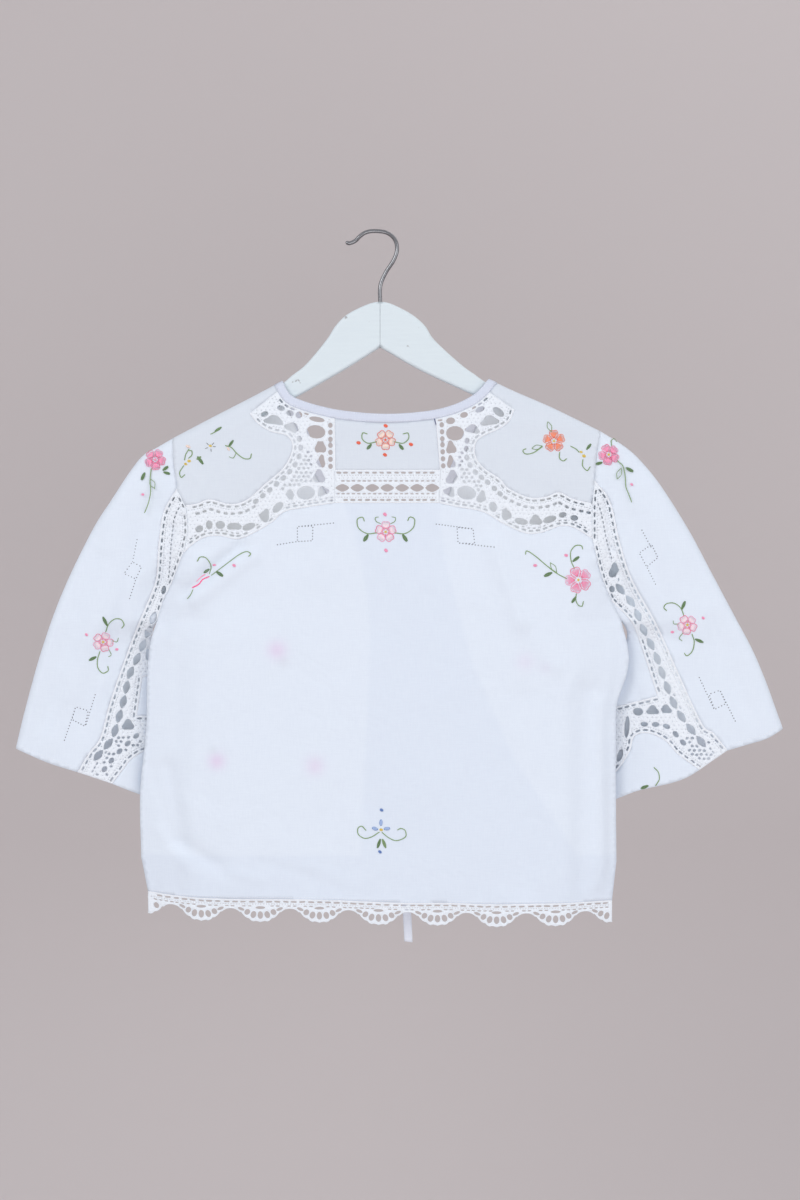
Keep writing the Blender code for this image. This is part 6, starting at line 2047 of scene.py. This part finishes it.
# Drawn-thread steps: each a run of small dark stitches, painted shade that stands for pulled holes
drawnThreadShade = {
    "body": (((59.8, 293), (98, 298)), ((82, 296.5), (98, 298), (99.6, 313), (83, 312),
        (82, 296.5)), ((83, 312), (120.4, 316.4)), ((-40, 292), (-77.5, 295.7)), ((-77.5, 295.7),
        (-62, 295), (-62.5, 309.8), (-77.5, 310.6), (-77.5, 295.7)), ((-77.5, 310.6), (-99, 314))),
    "left": (((-238.2, 307), (-243.2, 332)), ((-243.2, 330.8), (-233.7, 335.8), (-239.4, 348),
        (-251.4, 342.5), (-243.2, 330.8)), ((-239.4, 348), (-246.4, 369)), ((-280.5, 462.6),
        (-290.4, 495)), ((-300.4, 476.3), (-288, 480), (-291.2, 495.7), (-304, 488.8),
        (-300.4, 476.3)), ((-300.4, 476.3), (-312, 511))),
    "right": (((266.6, 297.7), (277, 317)), ((277, 313.4), (283.3, 326.6), (272, 335.8),
        (264.6, 322), (277, 313.4)), ((272, 335.8), (281.5, 354.4)), ((324.4, 445.4),
        (340, 478.8)), ((334.8, 463.4), (345.6, 459.4), (351.6, 472.8), (340.2, 478.8),
        (334.8, 463.4)), ((345.6, 459.4), (361.6, 491.6))),
}
daisy = {
    "middle": (-164.5, 215.5),
    "tips": ((-169, 211.5), (-161, 211.4), (-159, 215.6), (-163.8, 220.8), (-170.4, 217.7)),
}


def drawThreads(work, rows):
    for row in rows:
        for start, end in zip(row[:-1], row[1:]):
            way, long = wayTo(start, end)
            count = max(2, int(long / 2.9))
            for number in range(count):
                place = at(start, way, long * (number + 0.5) / count, 0)
                # Painted shade in place of each pulled hole
                work.sew(place, way, 1.3, 1.2, "shade", 0.3)


def makeEmbroidery():
    for name, face, kind, rows in (
            ("embroideryBack", "back", "body", backMotifs),
            ("embroideryLeftSleeve", "back", "left", leftMotifs),
            ("embroideryRightSleeve", "back", "right", rightMotifs),
            ("embroideryFronts", "front", "body", frontMotifs)):
        work = Stitches(name, face, kind)
        for what, *rest in rows:
            getattr(work, what)(*rest)
        if rows is backMotifs:
            middle = daisy["middle"]
            for tip in daisy["tips"]:
                way, long = wayTo(middle, tip)
                work.sew(at(middle, way, long * 0.68, 0), way, 3.6, 0.7, "greyGreen")
        work.make()
    for kind, rows in drawnThreadShade.items():
        work = Stitches("drawnThreadShade" + kind.capitalize(), "back", kind, 0.42)
        drawThreads(work, rows)
        work.make()


# Machine stitches: piece, face, form, lift, seams and how far beside them
topStitches = (
    ("neckStitches", "back", "body", 0.98, (("neck", -7.6), ("neck", -1.2))),
    ("hemStitches", "back", "body", 0.46, (("hem_back", 2.4),)),
    ("frontEdgeStitches", "front", "body", 0.98, (("opening_left", -7.6), ("opening_right", 7.6),
        ("opening_left", -1.2), ("opening_right", 1.2))),
    ("leftCuffStitches", "back", "left", 0.46, (("cuff_cloth_left", 5.0),)),
    ("rightCuffStitches", "back", "right", 0.46, (("cuff_cloth_right", -5.0),)),
)


borders = (
    ("bodyBorders", "back", "body", ("yoke_up_left", "yoke_low_left", "patch_side_left",
        "patch_low", "ladder_low", "patch_side_right", "yoke_up_right", "yoke_low_right",
        "hem_back")),
    ("leftSleeveBorders", "back", "left", ("sleeve_lace_left", "under_top_left",
        "under_side_left", "under_low_left", "scallop_left")),
    ("rightSleeveBorders", "back", "right", ("sleeve_lace_right", "under_side_right",
        "under_low_right", "scallop_right")),
)


def makeSeamStitches():
    for name, face, kind, rows in borders:
        work = Stitches(name, face, kind, 0.5)
        for seam in rows:
            work.border(fineEdges[seam])
        work.make()
    for name, face, kind, lift, rows in topStitches:
        work = Stitches(name, face, kind, lift)
        for seam, inset in rows:
            work.seam(fineEdges[seam], inset)
        work.make()


makeEmbroidery()
makeSeamStitches()
print("stage: embroidery and stitches")
